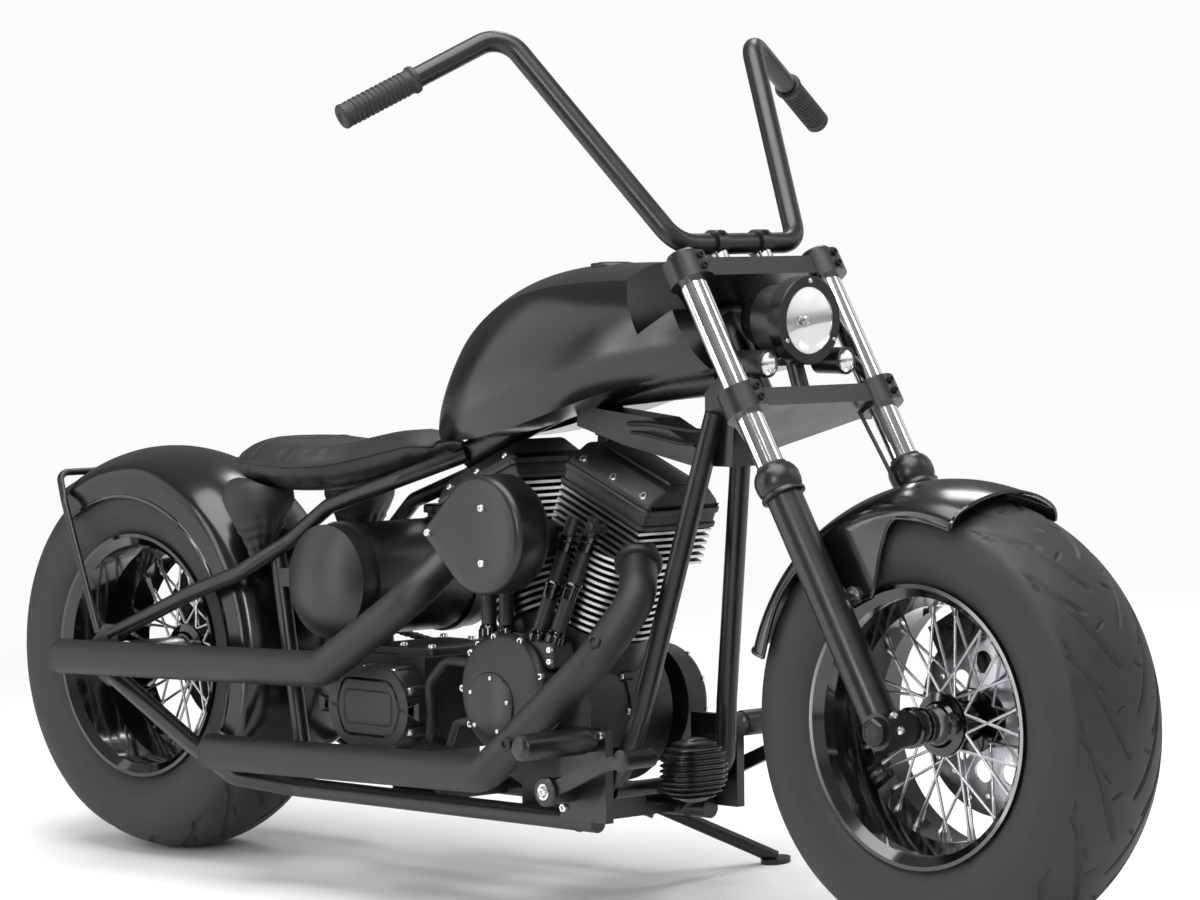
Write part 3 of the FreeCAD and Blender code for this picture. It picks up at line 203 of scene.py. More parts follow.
def arrayed(shape, places, axes, sizes=1.0, along=None):
    """Copies of a shape made about Z, turned so that Z points along each axis, scaled and moved.

    One axis serves all places. The shape's X points along the given directions, or anywhere square to Z.
    """
    points, faces = shape
    places = np.atleast_2d(places)
    axes = np.broadcast_to(unit(np.atleast_2d(axes)), places.shape)
    sizes = np.broadcast_to(np.asarray(sizes, float), (len(places),))
    helper = np.where(np.abs(axes[:, :1]) < 0.8, X, Y)
    a = unit(np.cross(axes, helper)) if along is None else unit(along)
    b = np.cross(axes, a)
    turn = np.stack([a, b, axes], 1)
    copies = np.einsum("vk,ckj->cvj", points, turn) * sizes[:, None, None] + places[:, None]
    all_faces = [[i + k * len(points) for i in face] for k in range(len(places)) for face in faces]
    return copies.reshape(-1, 3), all_faces


# ---------------------------------------------------------------- pieces
MATERIALS = {}
WHITE = (1.0, 1.0, 1.0, 1.0)
# the record's slot that a piece of each finish belongs to
SLOTS = {"gloss_enamel": "gloss_black_paint", "tank_paint": "gloss_black_paint",
         "powder_coat": "satin_black_steel", "wrinkle_cast": "black_cast_aluminium",
         "pipe_coat": "heatproof_black_coating",
         "stainless": "stainless_steel", "zinc": "stainless_steel", "reflector": "hard_chrome",
         "dark_steel": "dark_steel", "black_screw": "dark_steel", "rubber": "tyre_rubber",
         "grip_rubber": "grip_rubber", "leather": "black_leather", "lamp_glass": "lamp_glass"}


def face_out(mesh):
    """Turns the faces of each closed shell outwards."""
    shell = bmesh.new()
    shell.from_mesh(mesh)
    bmesh.ops.recalc_face_normals(shell, faces=shell.faces)
    shell.to_mesh(mesh)
    shell.free()


def piece(name, shape, finish, body="chassis", slot=None, flat_angle=35.0):
    """A mesh piece from (points in the upright layout, faces), smooth but for edges over flat_angle."""
    points, faces = shape
    slot = slot or SLOTS[finish]
    mesh = bpy.data.meshes.new(name)
    mesh.from_pydata(placed(points).tolist(), [], faces)
    mesh.validate()
    face_out(mesh)
    mesh.shade_smooth()
    mesh.set_sharp_from_angle(angle=math.radians(flat_angle))
    obj = bpy.data.objects.new(name, mesh)
    bpy.context.scene.collection.objects.link(obj)
    obj.data.materials.append(MATERIALS[finish])
    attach(obj, body)
    return obj


class Build:
    """What all operators share: each builds its pieces in the scene and finishes."""

    def execute(self, context):
        self.build(context.scene)
        return {"FINISHED"}


# ---------------------------------------------------------------- materials
def linear(hex_colour):
    """sRGB hex colour, such as '1a1a1c', to linear red, green, blue and alpha."""
    srgb = np.array([int(hex_colour[i:i + 2], 16) / 255.0 for i in (0, 2, 4)])
    value = np.where(srgb <= 0.04045, srgb / 12.92, ((srgb + 0.055) / 1.055) ** 2.4)
    return (*value.tolist(), 1.0)


def feed(tree, target, **links):
    """Links (node, output name) pairs to a node's sockets; in0, in1 and so on are sockets by number."""
    for key, (source, output) in links.items():
        numbered = key.startswith("in") and key[2:].isdigit()
        socket = target.inputs[int(key[2:]) if numbered else key.replace("_", " ")]
        tree.links.new(source.outputs[output], socket)


def node(tree, kind, settings=None, **links):
    """Adds a node, sets its properties and sockets, and links its sockets as feed() does."""
    made = tree.nodes.new("ShaderNode" + kind)
    for key, value in (settings or {}).items():
        if isinstance(key, int) or key in made.inputs:
            made.inputs[key].default_value = value
        else:
            setattr(made, key, value)
    feed(tree, made, **links)
    return made


def maths(tree, operation, first, second=None):
    """Output of a Math node; the second input is a (node, output name), a number or nothing."""
    made = node(tree, "Math", {"operation": operation}, in0=first)
    if isinstance(second, tuple):
        feed(tree, made, in1=second)
    elif second is not None:
        made.inputs[1].default_value = second
    return made, "Value"


def mapped(tree, source, from_min, from_max, to_min=0.0, to_max=1.0, kind="LINEAR"):
    """Output of a Map Range node."""
    settings = {"From Min": from_min, "From Max": from_max, "To Min": to_min, "To Max": to_max}
    made = node(tree, "MapRange", {**settings, "interpolation_type": kind}, Value=source)
    return made, "Result"


def noise(tree, coord, size_mm, detail):
    """Output of a noise texture whose largest marks are about size_mm across."""
    made = node(tree, "TexNoise", {"Scale": 1000.0 / size_mm, "Detail": detail}, Vector=(coord, "Object"))
    return made, "Fac"


def raised(tree, height, strength, depth_mm):
    """Output of a Bump node."""
    made = node(tree, "Bump", {"Strength": strength, "Distance": depth_mm / 1000.0}, Height=height)
    return made, "Normal"


def ramp(tree, source, stops):
    """Output of a colour ramp over two (position, hex colour) stops."""
    made = node(tree, "ValToRGB", Fac=source)
    for element, (position, colour) in zip(made.color_ramp.elements, stops):
        element.position = position
        element.color = linear(colour)
    return made, "Color"


def new_material(name, **shader):
    """Material with one Principled shader; returns the material, its tree and the shader node."""
    material = bpy.data.materials.new(name)
    material.use_nodes = True
    tree = material.node_tree
    bsdf = tree.nodes["Principled BSDF"]
    for key, value in shader.items():
        bsdf.inputs[key.replace("_", " ")].default_value = value
    return material, tree, bsdf


def surfaced(name, colours, roughness, grain_mm, bump=0.0, bump_mm=0.3, mottle_mm=60.0, **shader):
    """A finish whose colour and roughness drift over mottle_mm and whose grain_mm noise gives a bump."""
    material, tree, bsdf = new_material(name, **shader)
    coord = node(tree, "TexCoord")
    mottle = noise(tree, coord, mottle_mm, 5.0)
    feed(tree, bsdf, Base_Color=ramp(tree, mottle, zip((0.3, 0.7), colours)),
         Roughness=mapped(tree, mottle, 0.3, 0.7, *roughness))
    if bump:
        feed(tree, bsdf, Normal=raised(tree, noise(tree, coord, grain_mm, 3.0), bump, bump_mm))
    return material


FIN_R = 84.0               # radius of the barrel's fins
HEAD_HALF = (92.0, 78.0)   # half lengths of the head's square fins, along and across the machine
HEAD_FROM = 284.0          # distance from the crankshaft at which the head begins
FIN_EDGE = (0.984, 0.992)  # shares of a fin's size where its paint ends and where it is bare


def fin_material(name, tilt):
    """Black wrinkle paint whose fin edges are machined back to bright aluminium.

    In the cylinder's own axes, a point is on an edge where its distance from the axis, or on the head its
    distance from the middle across either side, comes within a hair of the fin's outer size.
    """
    material, tree, bsdf = new_material(name)
    coord = node(tree, "TexCoord")
    c, s = math.cos(math.radians(tilt)), math.sin(math.radians(tilt))
    own_axes = np.array([(c, 0, -s), (0, 1, 0), (s, 0, c)]) @ BASIS
    turn = Matrix(own_axes.T.tolist()).to_euler()
    own = node(tree, "Mapping", {"vector_type": "TEXTURE", "Location": placed(CRANK), "Rotation": turn,
                                 "Scale": (0.001, 0.001, 0.001)}, Vector=(coord, "Object"))
    parts = node(tree, "SeparateXYZ", Vector=(own, "Vector"))
    flat = node(tree, "VectorMath", {"operation": "MULTIPLY", 1: (1 / FIN_R, 1 / FIN_R, 0)}, in0=(own, "Vector"))
    barrel = node(tree, "VectorMath", {"operation": "LENGTH"}, in0=(flat, "Vector"))
    shares = [maths(tree, "DIVIDE", maths(tree, "ABSOLUTE", (parts, axis)), half)
              for axis, half in zip("XY", HEAD_HALF)]
    reach = node(tree, "Mix", {"data_type": "FLOAT"}, in0=maths(tree, "GREATER_THAN", (parts, "Z"), HEAD_FROM),
                 in2=(barrel, "Value"), in3=maths(tree, "MAXIMUM", *shares))
    edge = mapped(tree, (reach, "Result"), *FIN_EDGE)
    grain = noise(tree, coord, 1.5, 3.0)
    paint = ramp(tree, grain, [(0.3, "101011"), (0.7, "19191a")])
    colour = node(tree, "Mix", {"data_type": "RGBA", 7: linear("b9babc")}, in0=edge, in6=paint)
    tree.links.new(colour.outputs[2], bsdf.inputs["Base Color"])
    feed(tree, bsdf, Metallic=edge, Roughness=mapped(tree, edge, 0.0, 1.0, 0.5, 0.3),
         Normal=raised(tree, grain, 0.3, 0.3))
    return material


def leather_material():
    material, tree, bsdf = new_material("black_cowhide_dyed_full_grain")
    coord = node(tree, "TexCoord")
    pebble = node(tree, "TexVoronoi", {"feature": "SMOOTH_F1", "Scale": 420.0}, Vector=(coord, "Object"))
    wear = noise(tree, coord, 1000.0 / 14.0, 6.0)
    feed(tree, bsdf, Base_Color=ramp(tree, wear, [(0.35, "0f0e0e"), (0.75, "1d1b1a")]),
         Roughness=mapped(tree, wear, 0.0, 1.0, 0.5, 0.65), Normal=raised(tree, (pebble, "Distance"), 0.35, 0.4))
    return material


def make_materials():
    """All finishes by name; each is named for the real material and how its surface was made."""
    MATERIALS.update({
        # Stove-enamelled steel: deep black with a clear, nearly mirror-smooth face.
        "gloss_enamel": surfaced("gloss_black_enamel_sprayed", ("060607", "0a0a0b"), (0.08, 0.14), 30.0,
                                 0.02, 0.3, Coat_Weight=0.4, Coat_Roughness=0.04),
        # Rubbed-down lacquer on sheet steel: deep black with a soft, broad highlight.
        "tank_paint": surfaced("black_lacquer_rubbed_down", ("070708", "0c0c0d"), (0.15, 0.22), 30.0,
                               mottle_mm=120.0),
        # Powder-coated steel: even satin black that clouds slightly.
        "powder_coat": surfaced("satin_black_powder_coat_baked", ("0c0c0d", "131314"), (0.3, 0.4), 2.0),
        # Wrinkle-painted sand-cast aluminium: dull black that breaks up the light in a fine 1.5 mm crackle.
        "wrinkle_cast": surfaced("black_wrinkle_paint_on_cast_aluminium", ("0f0f10", "171718"), (0.42, 0.55), 1.5,
                                 0.3, 0.3),
        # Heatproof coating sprayed on steel pipe: flat grey-black, slightly chalky.
        "pipe_coat": surfaced("heatproof_black_coating_sprayed", ("101012", "19191b"), (0.45, 0.58), 3.0,
                              0.06, 0.15, mottle_mm=90.0),
        # Hard chrome ground and polished on fork tube steel: bright, its sharpness drifting over the tube.
        "hard_chrome": surfaced("hard_chrome_ground_and_polished", ("c9cacc", "dcdde0"), (0.06, 0.14), 4.0,
                                Metallic=1.0),
        # Stainless spoke wire and disc steel: bright grey with a fine grain.
        "stainless": surfaced("stainless_steel_brushed", ("a9aaad", "c4c5c8"), (0.22, 0.36), 1.2, 0.08, 0.08,
                              Metallic=1.0),
        # Oiled tool steel: dark, half bright.
        "dark_steel": surfaced("dark_steel_oiled", ("2a2a2c", "3c3b3b"), (0.3, 0.45), 2.0, 0.1, 0.1, Metallic=0.9),
        # Zinc-plated screw heads: pale and slightly cloudy.
        "zinc": surfaced("zinc_plated_screw_steel", ("d2d2d5", "e6e6e8"), (0.2, 0.34), 1.0, Metallic=1.0),
        # Vulcanised tread rubber: dark grey-black with a dusty bloom.
        "rubber": surfaced("tyre_rubber_moulded", ("161617", "232324"), (0.55, 0.72), 1.2, 0.2, 0.2,
                           mottle_mm=40.0),
        # Moulded rubber of grips, hoses and cables: dull black with a fine 0.8 mm grain.
        "grip_rubber": surfaced("soft_rubber_moulded", ("131313", "1c1c1c"), (0.5, 0.62), 0.8, 0.25, 0.15),
        # Full-grain cowhide, dyed black: pebbles of 2 mm with a soft sheen on the raised parts.
        "leather": leather_material(),
        # Finned cylinders: wrinkle paint, turned back to bare aluminium on the rims of the fins.
        "front_fins": fin_material("front_fins_painted_and_machined", 22.5),
        "rear_fins": fin_material("rear_fins_painted_and_machined", -22.5),
        # Vacuum-aluminised reflector: a clean mirror.
        "reflector": surfaced("lamp_reflector_aluminised", ("e4e5e7", "eeeff0"), (0.05, 0.1), 6.0, Metallic=1.0),
        # Black-oxide socket screws: dull blue-black.
        "black_screw": surfaced("black_oxide_screw_steel", ("1b1b1e", "29292c"), (0.32, 0.46), 1.0, Metallic=0.8),
        # Pressed lamp glass: clear, so that the reflector and the bulb behind it show.
        "lamp_glass": new_material("clear_lamp_glass_pressed", Base_Color=WHITE, Roughness=0.02,
                                   Transmission_Weight=1.0)[0],
    })


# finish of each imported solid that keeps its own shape
NODE_FINISH = {
    "tank_paint": ["fuel_tank", "rear_fender", "front_fender"],
    "gloss_enamel": ["front_rim", "rear_rim"],
    "powder_coat": ["head_tube", "backbone", "downtube_right", "downtube_left", "lower_rail_right",
                    "lower_rail_left", "top_rail_right", "top_rail_left", "seat_posts", "axle_plates", "bearers",
                    "fender_strut", "handlebar", "top_clamp", "lower_clamp", "fork_lowers", "headlight",
                    "side_stand", "right_control", "left_control", "coil_cover", "oil_tank"],
    "front_fins": ["front_cylinder"],
    "rear_fins": ["rear_cylinder"],
    "wrinkle_cast": ["crankcase", "cam_cover", "front_rocker_box", "rear_rocker_box", "carburettor", "gearbox",
                     "primary_cover", "air_cleaner", "regulator", "front_caliper", "rear_caliper",
                     "pushrod_tubes"],
    "pipe_coat": ["exhaust_upper", "exhaust_lower"],
    "hard_chrome": ["fork_tubes"],
    "stainless": ["front_spokes", "rear_spokes", "front_disc"],
    "dark_steel": ["rear_sprocket", "final_chain", "front_axle", "rear_axle"],
    "rubber": ["front_tyre", "rear_tyre"],
    "grip_rubber": ["grips", "brake_hose", "oil_lines", "cables"],
    "leather": ["seat_pad", "seat_boot"],
    "lamp_glass": ["lamp_glasses"],
}


class ChopperSizes(bpy.types.PropertyGroup):
    floor_reach: bpy.props.FloatProperty(name="Floor reach", description="Half width of the floor", default=60.0,
                                         min=5.0, unit="LENGTH")
    lens: bpy.props.FloatProperty(name="Lens", description="Focal length of the camera", default=145.6, min=20.0,
                                  unit="CAMERA")


class ChopperColours(bpy.types.PropertyGroup):
    floor: bpy.props.FloatVectorProperty(name="Floor", description="Colour of the floor", size=3, subtype="COLOR",
                                         default=(0.9, 0.9, 0.905))


class FinishSolids(Build, bpy.types.Operator):
    """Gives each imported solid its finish."""
    bl_idname = "chopper.finish_solids"
    bl_label = "Finish the solids"

    def build(self, scene):
        make_materials()
        for finish, names in NODE_FINISH.items():
            for name in names:
                mesh = frame["nodes"][name].data
                mesh.materials.clear()
                mesh.materials.append(MATERIALS[finish])


FLOOR_FADE = (1.4, 3.6)    # distances in metres over which the floor fades to the white beyond it
BAND_WAY = (0.85, 0.5, 0.0)  # middle of the pale band that reflections see, ahead and to the left
PALE = 0.97                # strength of that white, and of the world's as the camera sees it
# the camera in the upright layout, in metres: place, the way it looks and its right
CAMERA_AT = (6.42537, -5.22935, 1.06719)
CAMERA_LOOKS = (-0.71687, 0.69555, -0.04815)
CAMERA_RIGHT = (0.69665, 0.71735, -0.00933)


class Stage(Build, bpy.types.Operator):
    """Pale floor, soft studio light and the camera."""
    bl_idname = "chopper.stage"
    bl_label = "Stage"

    def build(self, scene):
        scene.view_settings.view_transform = "Standard"
        self.add_camera(scene)
        self.add_floor(scene)
        self.add_light(scene)

    def add_camera(self, scene):
        camera = bpy.data.objects.new("camera", bpy.data.cameras.new("camera"))
        scene.collection.objects.link(camera)
        look = unit(np.array(CAMERA_LOOKS)) @ BASIS
        right = unit(np.array(CAMERA_RIGHT)) @ BASIS
        up = np.cross(right, look)
        at = placed(np.array(CAMERA_AT) * 1000.0)
        camera.matrix_world = standing(right, up, at)
        camera.data.lens = scene.chopper_sizes.lens
        camera.data.sensor_width = 36.0
        camera.data.clip_end = 200.0
        scene.camera = camera

    def add_floor(self, scene):
        reach = scene.chopper_sizes.floor_reach
        mesh = bpy.data.meshes.new("floor")
        mesh.from_pydata([(-reach, -reach, 0), (reach, -reach, 0), (reach, reach, 0), (-reach, reach, 0)], [],
                         [(0, 1, 2, 3)])
        floor = bpy.data.objects.new("floor", mesh)
        scene.collection.objects.link(floor)
        material, tree, bsdf = new_material("pale_paper_floor", Roughness=0.7)
        bsdf.inputs["Base Color"].default_value = (*scene.chopper_colours.floor, 1.0)
        away = node(tree, "VectorMath", {"operation": "LENGTH"}, Vector=(node(tree, "TexCoord"), "Object"))
        fade = mapped(tree, (away, "Value"), *FLOOR_FADE, kind="SMOOTHSTEP")
        seen = maths(tree, "MULTIPLY", fade, (node(tree, "LightPath"), "Is Camera Ray"))
        white = node(tree, "Emission", {"Color": WHITE, "Strength": PALE})
        mixed = node(tree, "MixShader", in0=seen, in1=(bsdf, "BSDF"), in2=(white, "Emission"))
        feed(tree, tree.nodes["Material Output"], Surface=(mixed, "Shader"))
        mesh.materials.append(material)

    def add_light(self, scene):
        """Lamps, and a world that is white to the camera and a pale band ahead and to the left in reflections."""
        world = bpy.data.worlds.new("studio")
        scene.world = world
        world.use_nodes = True
        tree = world.node_tree
        coord = node(tree, "TexCoord")
        parts = node(tree, "SeparateXYZ", Vector=(coord, "Generated"))
        facing = node(tree, "VectorMath", {"operation": "DOT_PRODUCT", 1: unit(BAND_WAY).tolist()},
                      in0=(coord, "Generated"))
        band = maths(tree, "MULTIPLY", mapped(tree, (facing, "Value"), -0.1, 0.3, kind="SMOOTHSTEP"),
                     mapped(tree, (parts, "Z"), 0.5, 0.3, kind="SMOOTHSTEP"))
        path = node(tree, "LightPath")
        mirrored = maths(tree, "MAXIMUM", (path, "Is Glossy Ray"), (path, "Is Transmission Ray"))
        seen = maths(tree, "MAXIMUM", maths(tree, "MULTIPLY", mirrored, band), (path, "Is Camera Ray"))
        dim = tree.nodes["Background"]
        dim.inputs["Color"].default_value = WHITE
        feed(tree, dim, Strength=mapped(tree, (parts, "Z"), -0.1, 0.9, 0.1, 0.42))
        pale = node(tree, "Background", {"Color": WHITE, "Strength": PALE})
        mixed = node(tree, "MixShader", in0=seen, in1=(dim, "Background"), in2=(pale, "Background"))
        feed(tree, tree.nodes["World Output"], Surface=(mixed, "Shader"))
        # name, place in metres, aim, size across and up, power in watts
        lamps = (("overhead", (0.9, -0.6, 4.2), (0.9, 0.0, 0.5), 4.2, 3.2, 250.0),
                 ("tank_strip_rear", (-1.85, -2.75, 1.5), (0.27, -0.1, 0.85), 0.16, 3.0, 16.0),
                 ("tank_strip_front", (-1.52, -3.08, 1.5), (0.27, -0.1, 0.85), 0.16, 3.0, 16.0),
                 ("leg_strip", (2.28, -3.9, 2.45), (0.7, 0.0, 0.6), 0.5, 2.0, 70.0),
                 ("clamp_panel", (2.8, 2.9, 3.3), (0.5, 0.0, 0.95), 1.4, 1.4, 20.0),
                 ("side_panel", (-2.56, -1.6, 1.3), (0.0, 0.0, 0.6), 1.6, 2.6, 16.0),
                 ("rear_fill", (-1.6, 3.0, 4.2), (0.3, 0.0, 0.7), 1.2, 1.2, 45.0))
        for name, at, aim, across, up, power in lamps:
            data = bpy.data.lights.new(name, "AREA")
            data.shape = "RECTANGLE"
            data.size, data.size_y, data.energy = across, up, power
            lamp = bpy.data.objects.new(name, data)
            scene.collection.objects.link(lamp)
            back = unit(np.array(at) - np.array(aim))
            side = unit(np.cross(Z, back))
            lamp.matrix_world = standing(side, np.cross(back, side), at)


# ---------------------------------------------------------------- tyres
TREAD_HALF = 93.0
CROWN_R = 165.0


def tyre_shape(axle_x):
    """Section of bead, sidewall and crown turned about the axle; the skin sinks along swept grooves.

    A groove's middle lies at an angle that grows with the distance from the tyre's centre line to the power
    1.5; the sink is its depth times a smooth step of the distance across it, fading to both of its ends.
    """
    shoulder = TYRE_R - CROWN_R + math.sqrt(CROWN_R ** 2 - TREAD_HALF ** 2)
    wall = arc3((206.0, -86.0), (270.0, -106.0), (shoulder, -TREAD_HALF), 17)
    y = np.linspace(-TREAD_HALF, TREAD_HALF, 73)
    crown = np.stack([TYRE_R - CROWN_R + np.sqrt(CROWN_R ** 2 - y ** 2), y], -1)
    section = np.vstack([[(193.0, -86.0)], wall[:-1], crown, wall[::-1][1:] * (1, -1), [(193.0, 86.0)]])
    count = 880
    angle = (np.arange(count) * 2 * math.pi / count)[:, None]
    across = section[None, :, 1] / TREAD_HALF
    off = np.abs(across)
    side = np.sign(across + 1e-9)
    on_tread = section[None, :, 0] > shoulder - 0.01
    sink = np.zeros((count, len(section)))
    # pitches round the tyre, sweep in radians, power, from and to across, width in mm, depth in mm, offset
    for pitches, sweep_by, power, start, end, width, depth, offset in (
            (17, 0.62, 1.5, 0.05, 0.97, 8.0, 4.6, 0.0), (17, 0.34, 1.3, 0.40, 0.99, 6.5, 4.2, 0.46),
            (17, -0.16, 1.0, 0.14, 0.42, 5.0, 3.4, 0.72)):
        pitch = 2 * math.pi / pitches
        middle = sweep_by * off ** power + pitch * (offset + 0.25 * side)
        gap = ((angle - middle + pitch / 2) % pitch - pitch / 2) * TYRE_R
        slope = sweep_by * power * np.maximum(off, 0.02) ** (power - 1) * TYRE_R / TREAD_HALF
        gap = np.abs(gap) / np.sqrt(1 + slope ** 2)
        fade = step(start, start + 0.1, off) * (1 - step(end - 0.1, end, off))
        half = width / 2 * (0.45 + 0.55 * fade)
        sink = np.maximum(sink, depth * fade * (1 - step(half - 1.4, half + 1.2, gap)))
    sink = np.where(on_tread, sink, 0.0)
    r = section[None, :, 0]
    rib = 1.5 * np.exp(-((r - 222.0) / 3.2) ** 2) + 0.9 * np.exp(-((r - 234.0) / 1.6) ** 2)
    rib = rib + 0.8 * np.exp(-((r - 297.0) / 2.0) ** 2)
    rib = np.where(on_tread | (r < 210), 0.0, rib)
    ring = np.stack([np.cos(angle), np.zeros_like(angle), np.sin(angle)], -1)
    radius = r - sink
    y_out = section[None, :, 1] + side * rib
    grid = radius[..., None] * ring + y_out[..., None] * Y + (axle_x, 0.0, TYRE_R)
    return surface(grid, round_u=True, round_v=True)


class Tyres(Build, bpy.types.Operator):
    """Tyres with a swept tread and ribbed sidewalls."""
    bl_idname = "chopper.tyres"
    bl_label = "Tyres"

    def build(self, scene):
        for name, axle_x in (("rear", 0.0), ("front", WHEELBASE)):
            tyre = piece(name + "_tyre_tread", tyre_shape(axle_x), "rubber", name + "_wheel", flat_angle=50.0)
            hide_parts(name + "_tyre")


# ---------------------------------------------------------------- small fittings
SCREW = turned([(1.0, -0.2), (1.0, 0.6), (0.86, 0.85), (0.5, 0.85), (0.42, 0.4)], count=12)
HEAD_SCALE = 1.08          # radius of a screw head to the size that it is called by


def screws(name, rows, axis, size, body="chassis", finish="zinc"):
    """Screw heads of one size at the places in rows, all looking along one axis."""
    return piece(name, arrayed(SCREW, rows, axis, size * HEAD_SCALE), finish, body)


def pillow(outline, levels, plane):
    """Rings of a closed outline at (height, inset) levels, moved in square to the outline; both ends closed."""
    outline = np.asarray(outline, float)
    run = unit(np.roll(outline, -1, 0) - np.roll(outline, 1, 0))
    ahead = np.roll(outline, -1, 0)
    turn = np.sign(np.sum(outline[:, 0] * ahead[:, 1] - outline[:, 1] * ahead[:, 0]))
    inward = turn * np.stack([-run[:, 1], run[:, 0]], -1)
    grid = np.stack([plane(*(outline + inset * inward).T, height) for height, inset in levels])
    return surface(grid, round_v=True, cap_u=True)


def level(x, y, height):
    """Plane of a top view: (x, y, height) to points."""
    return np.stack([x, y, np.full_like(x, height)], -1)


def crosswise(y, z, height):
    """Section in (y, z) set along X: (y, z, height) to points."""
    return np.stack([np.full_like(y, height), y, z], -1)


def on_side(y_sign=-1.0):
    """Plane of a side view: (x, z, height out from the machine's middle) to points."""
    return lambda x, z, height: np.stack([x, np.full_like(x, y_sign * height), z], -1)


def rounded(corners, radius, steps=6):
    """Closed outline with each corner rounded by a quadratic curve that starts radius before it."""
    corners = np.asarray(corners, float)
    radius = np.broadcast_to(np.asarray(radius, float), (len(corners),))[:, None, None]
    before = unit(np.roll(corners, 1, 0) - corners)[:, None]
    after = unit(np.roll(corners, -1, 0) - corners)[:, None]
    t = np.linspace(0, 1, steps)[None, :, None]
    curve = corners[:, None] + radius * (before * (1 - t) ** 2 + after * t ** 2)
    return curve.reshape(-1, corners.shape[1])


def soft_edge(low, high, radius, steps=5, both=False):
    """Levels of a slab from low to high whose far edge, or both, is a quarter round."""
    a = np.linspace(0, math.pi / 2, steps)
    far = [(high - radius + radius * math.sin(v), radius - radius * math.cos(v)) for v in a]
    near = [(low + radius - radius * math.sin(v), radius - radius * math.cos(v)) for v in a[::-1]]
    return (near if both else [(low, 0.0)]) + far


# ---------------------------------------------------------------- wheels
SPOKE_COUNT = 20
WHEELS = (("rear", 0.0, 48.0, 30.0), ("front", WHEELBASE, 0.0, 34.0))  # name, X, lacing plane, flange offset
FLANGE_R = 38.0
NIPPLE_R = 171.1
HUB_FLANGE = [(26.4, -9), (34, -7), (46.0, -4.2), (47.5, 0), (46.0, 4.2), (34, 7), (30, 12), (26.4, 13)]


def spoke_ends(axle_x, lace_y, flange):
    """Inner and outer ends of the laced spokes of one wheel."""
    index = np.arange(SPOKE_COUNT)
    inner, outer = [], []
    for side in (-1, 1):
        foot = np.radians(360.0 * (index + 0.25 * side) / SPOKE_COUNT)
        tip = foot + np.radians(np.where(index % 2, 38.0, -38.0))
        for ends, angle, r, out in ((inner, foot, FLANGE_R, flange), (outer, tip, NIPPLE_R, 12)):
            ends.append(on_side(1.0)(*polar((axle_x, TYRE_R), r, angle).T, lace_y + side * out))
    return np.vstack(inner), np.vstack(outer)


class WheelTrim(Build, bpy.types.Operator):
    """Spoke nipples and heads, black hub shells and valves."""
    bl_idname = "chopper.wheel_trim"
    bl_label = "Wheel trim"

    def build(self, scene):
        nipple = turned([(4.6, 3.0), (4.6, -3.0), (3.5, -4.5), (3.3, -16.0)][::-1], count=8)
        for name, axle_x, lace_y, flange in WHEELS:
            inner, outer = spoke_ends(axle_x, lace_y, flange)
            body = name + "_wheel"
            piece(name + "_spoke_nipples", arrayed(nipple, outer, outer - inner), "stainless", body)
            elbow = turned([(3.6, -3.6), (4.4, -2.0), (4.4, 2.0), (3.6, 3.6)], count=8)
            piece(name + "_spoke_heads", arrayed(elbow, inner, Y), "stainless", body)
            hub = np.array([axle_x, lace_y, TYRE_R])
            half = flange - 12
            shell = [turned([(r, side * (flange + t)) for r, t in HUB_FLANGE], hub, Y, closed=True)
                     for side in (-1, 1)]
            shell.append(turned([(26.3, -half), (30.5, -half), (28.5, 0), (30.5, half), (26.3, half)], hub, Y,
                                closed=True))
            piece(name + "_hub_shell", joined(shell), "gloss_enamel", body)
            angle = math.radians(214)
            foot = np.array([axle_x + 190 * math.cos(angle), lace_y + 2, TYRE_R + 190 * math.sin(angle)])
            inwards = np.array([-math.cos(angle), -0.25, -math.sin(angle)])
            valve = turned([(5.2, -16), (5.2, 12), (3.9, 14), (3.9, 36), (4.6, 37), (4.6, 46), (3.4, 48)], foot,
                           inwards, count=16)
            piece(name + "_valve", valve, "grip_rubber", body)


# ---------------------------------------------------------------- bodywork
def fender_sheet(axle_x, from_deg, to_deg, reach_at, count=120):
    """Outer skin of a fender: a crowned section carried round the axle, its skirt as deep as reach_at(degrees).

    Across, the skin follows a smooth line through the crown's and the corner's drops, then runs straight down.
    """
    crown = curve_through([(0.0, 0.0), (-1.2, 22.0), (-5.0, 44.0), (-11.0, 66.0), (-20.0, 88.5), (-29.0, 103.5),
                           (-39.0, 111.5), (-48.0, 114.5)], 4)
    degrees = np.linspace(from_deg, to_deg, count)
    reach = reach_at(degrees)
    share = np.linspace(0, 1, 14)[1:]
    drops = np.concatenate([np.broadcast_to(crown[None, :, 0], (count, len(crown))),
                            -48.0 - share[None, :] * reach[:, None]], 1)
    wide = np.concatenate([crown[:, 1], np.full(13, 114.5)])
    radius = 352.5 + np.concatenate([drops[:, ::-1], drops[:, 1:]], 1)
    y = np.concatenate([-wide[::-1], wide[1:]])
    a = np.radians(degrees)[:, None]
    x, z = axle_x + radius * np.cos(a), TYRE_R + radius * np.sin(a)
    return np.stack([x, np.broadcast_to(y, radius.shape), z], -1)


def add_modifier(obj, kind, **settings):
    made = obj.modifiers.new(kind.title(), kind)
    for key, value in settings.items():
        setattr(made, key, value)
    return made


def rim_of(grid):
    """The four edges of a grid as one closed path."""
    return np.vstack([grid[:-1, 0], grid[-1, :-1], grid[:0:-1, -1], grid[0, :0:-1]])


def front_reach(degrees):
    """Depth of the front fender's skirt: a lip, and an ear over the fork leg with smooth flanks."""
    ear = step(92.0, 109.0, degrees) * (1 - step(119.0, 125.0, degrees))
    return 3.0 + 107.0 * ear + 10.0 * step(140.0, 163.0, degrees)


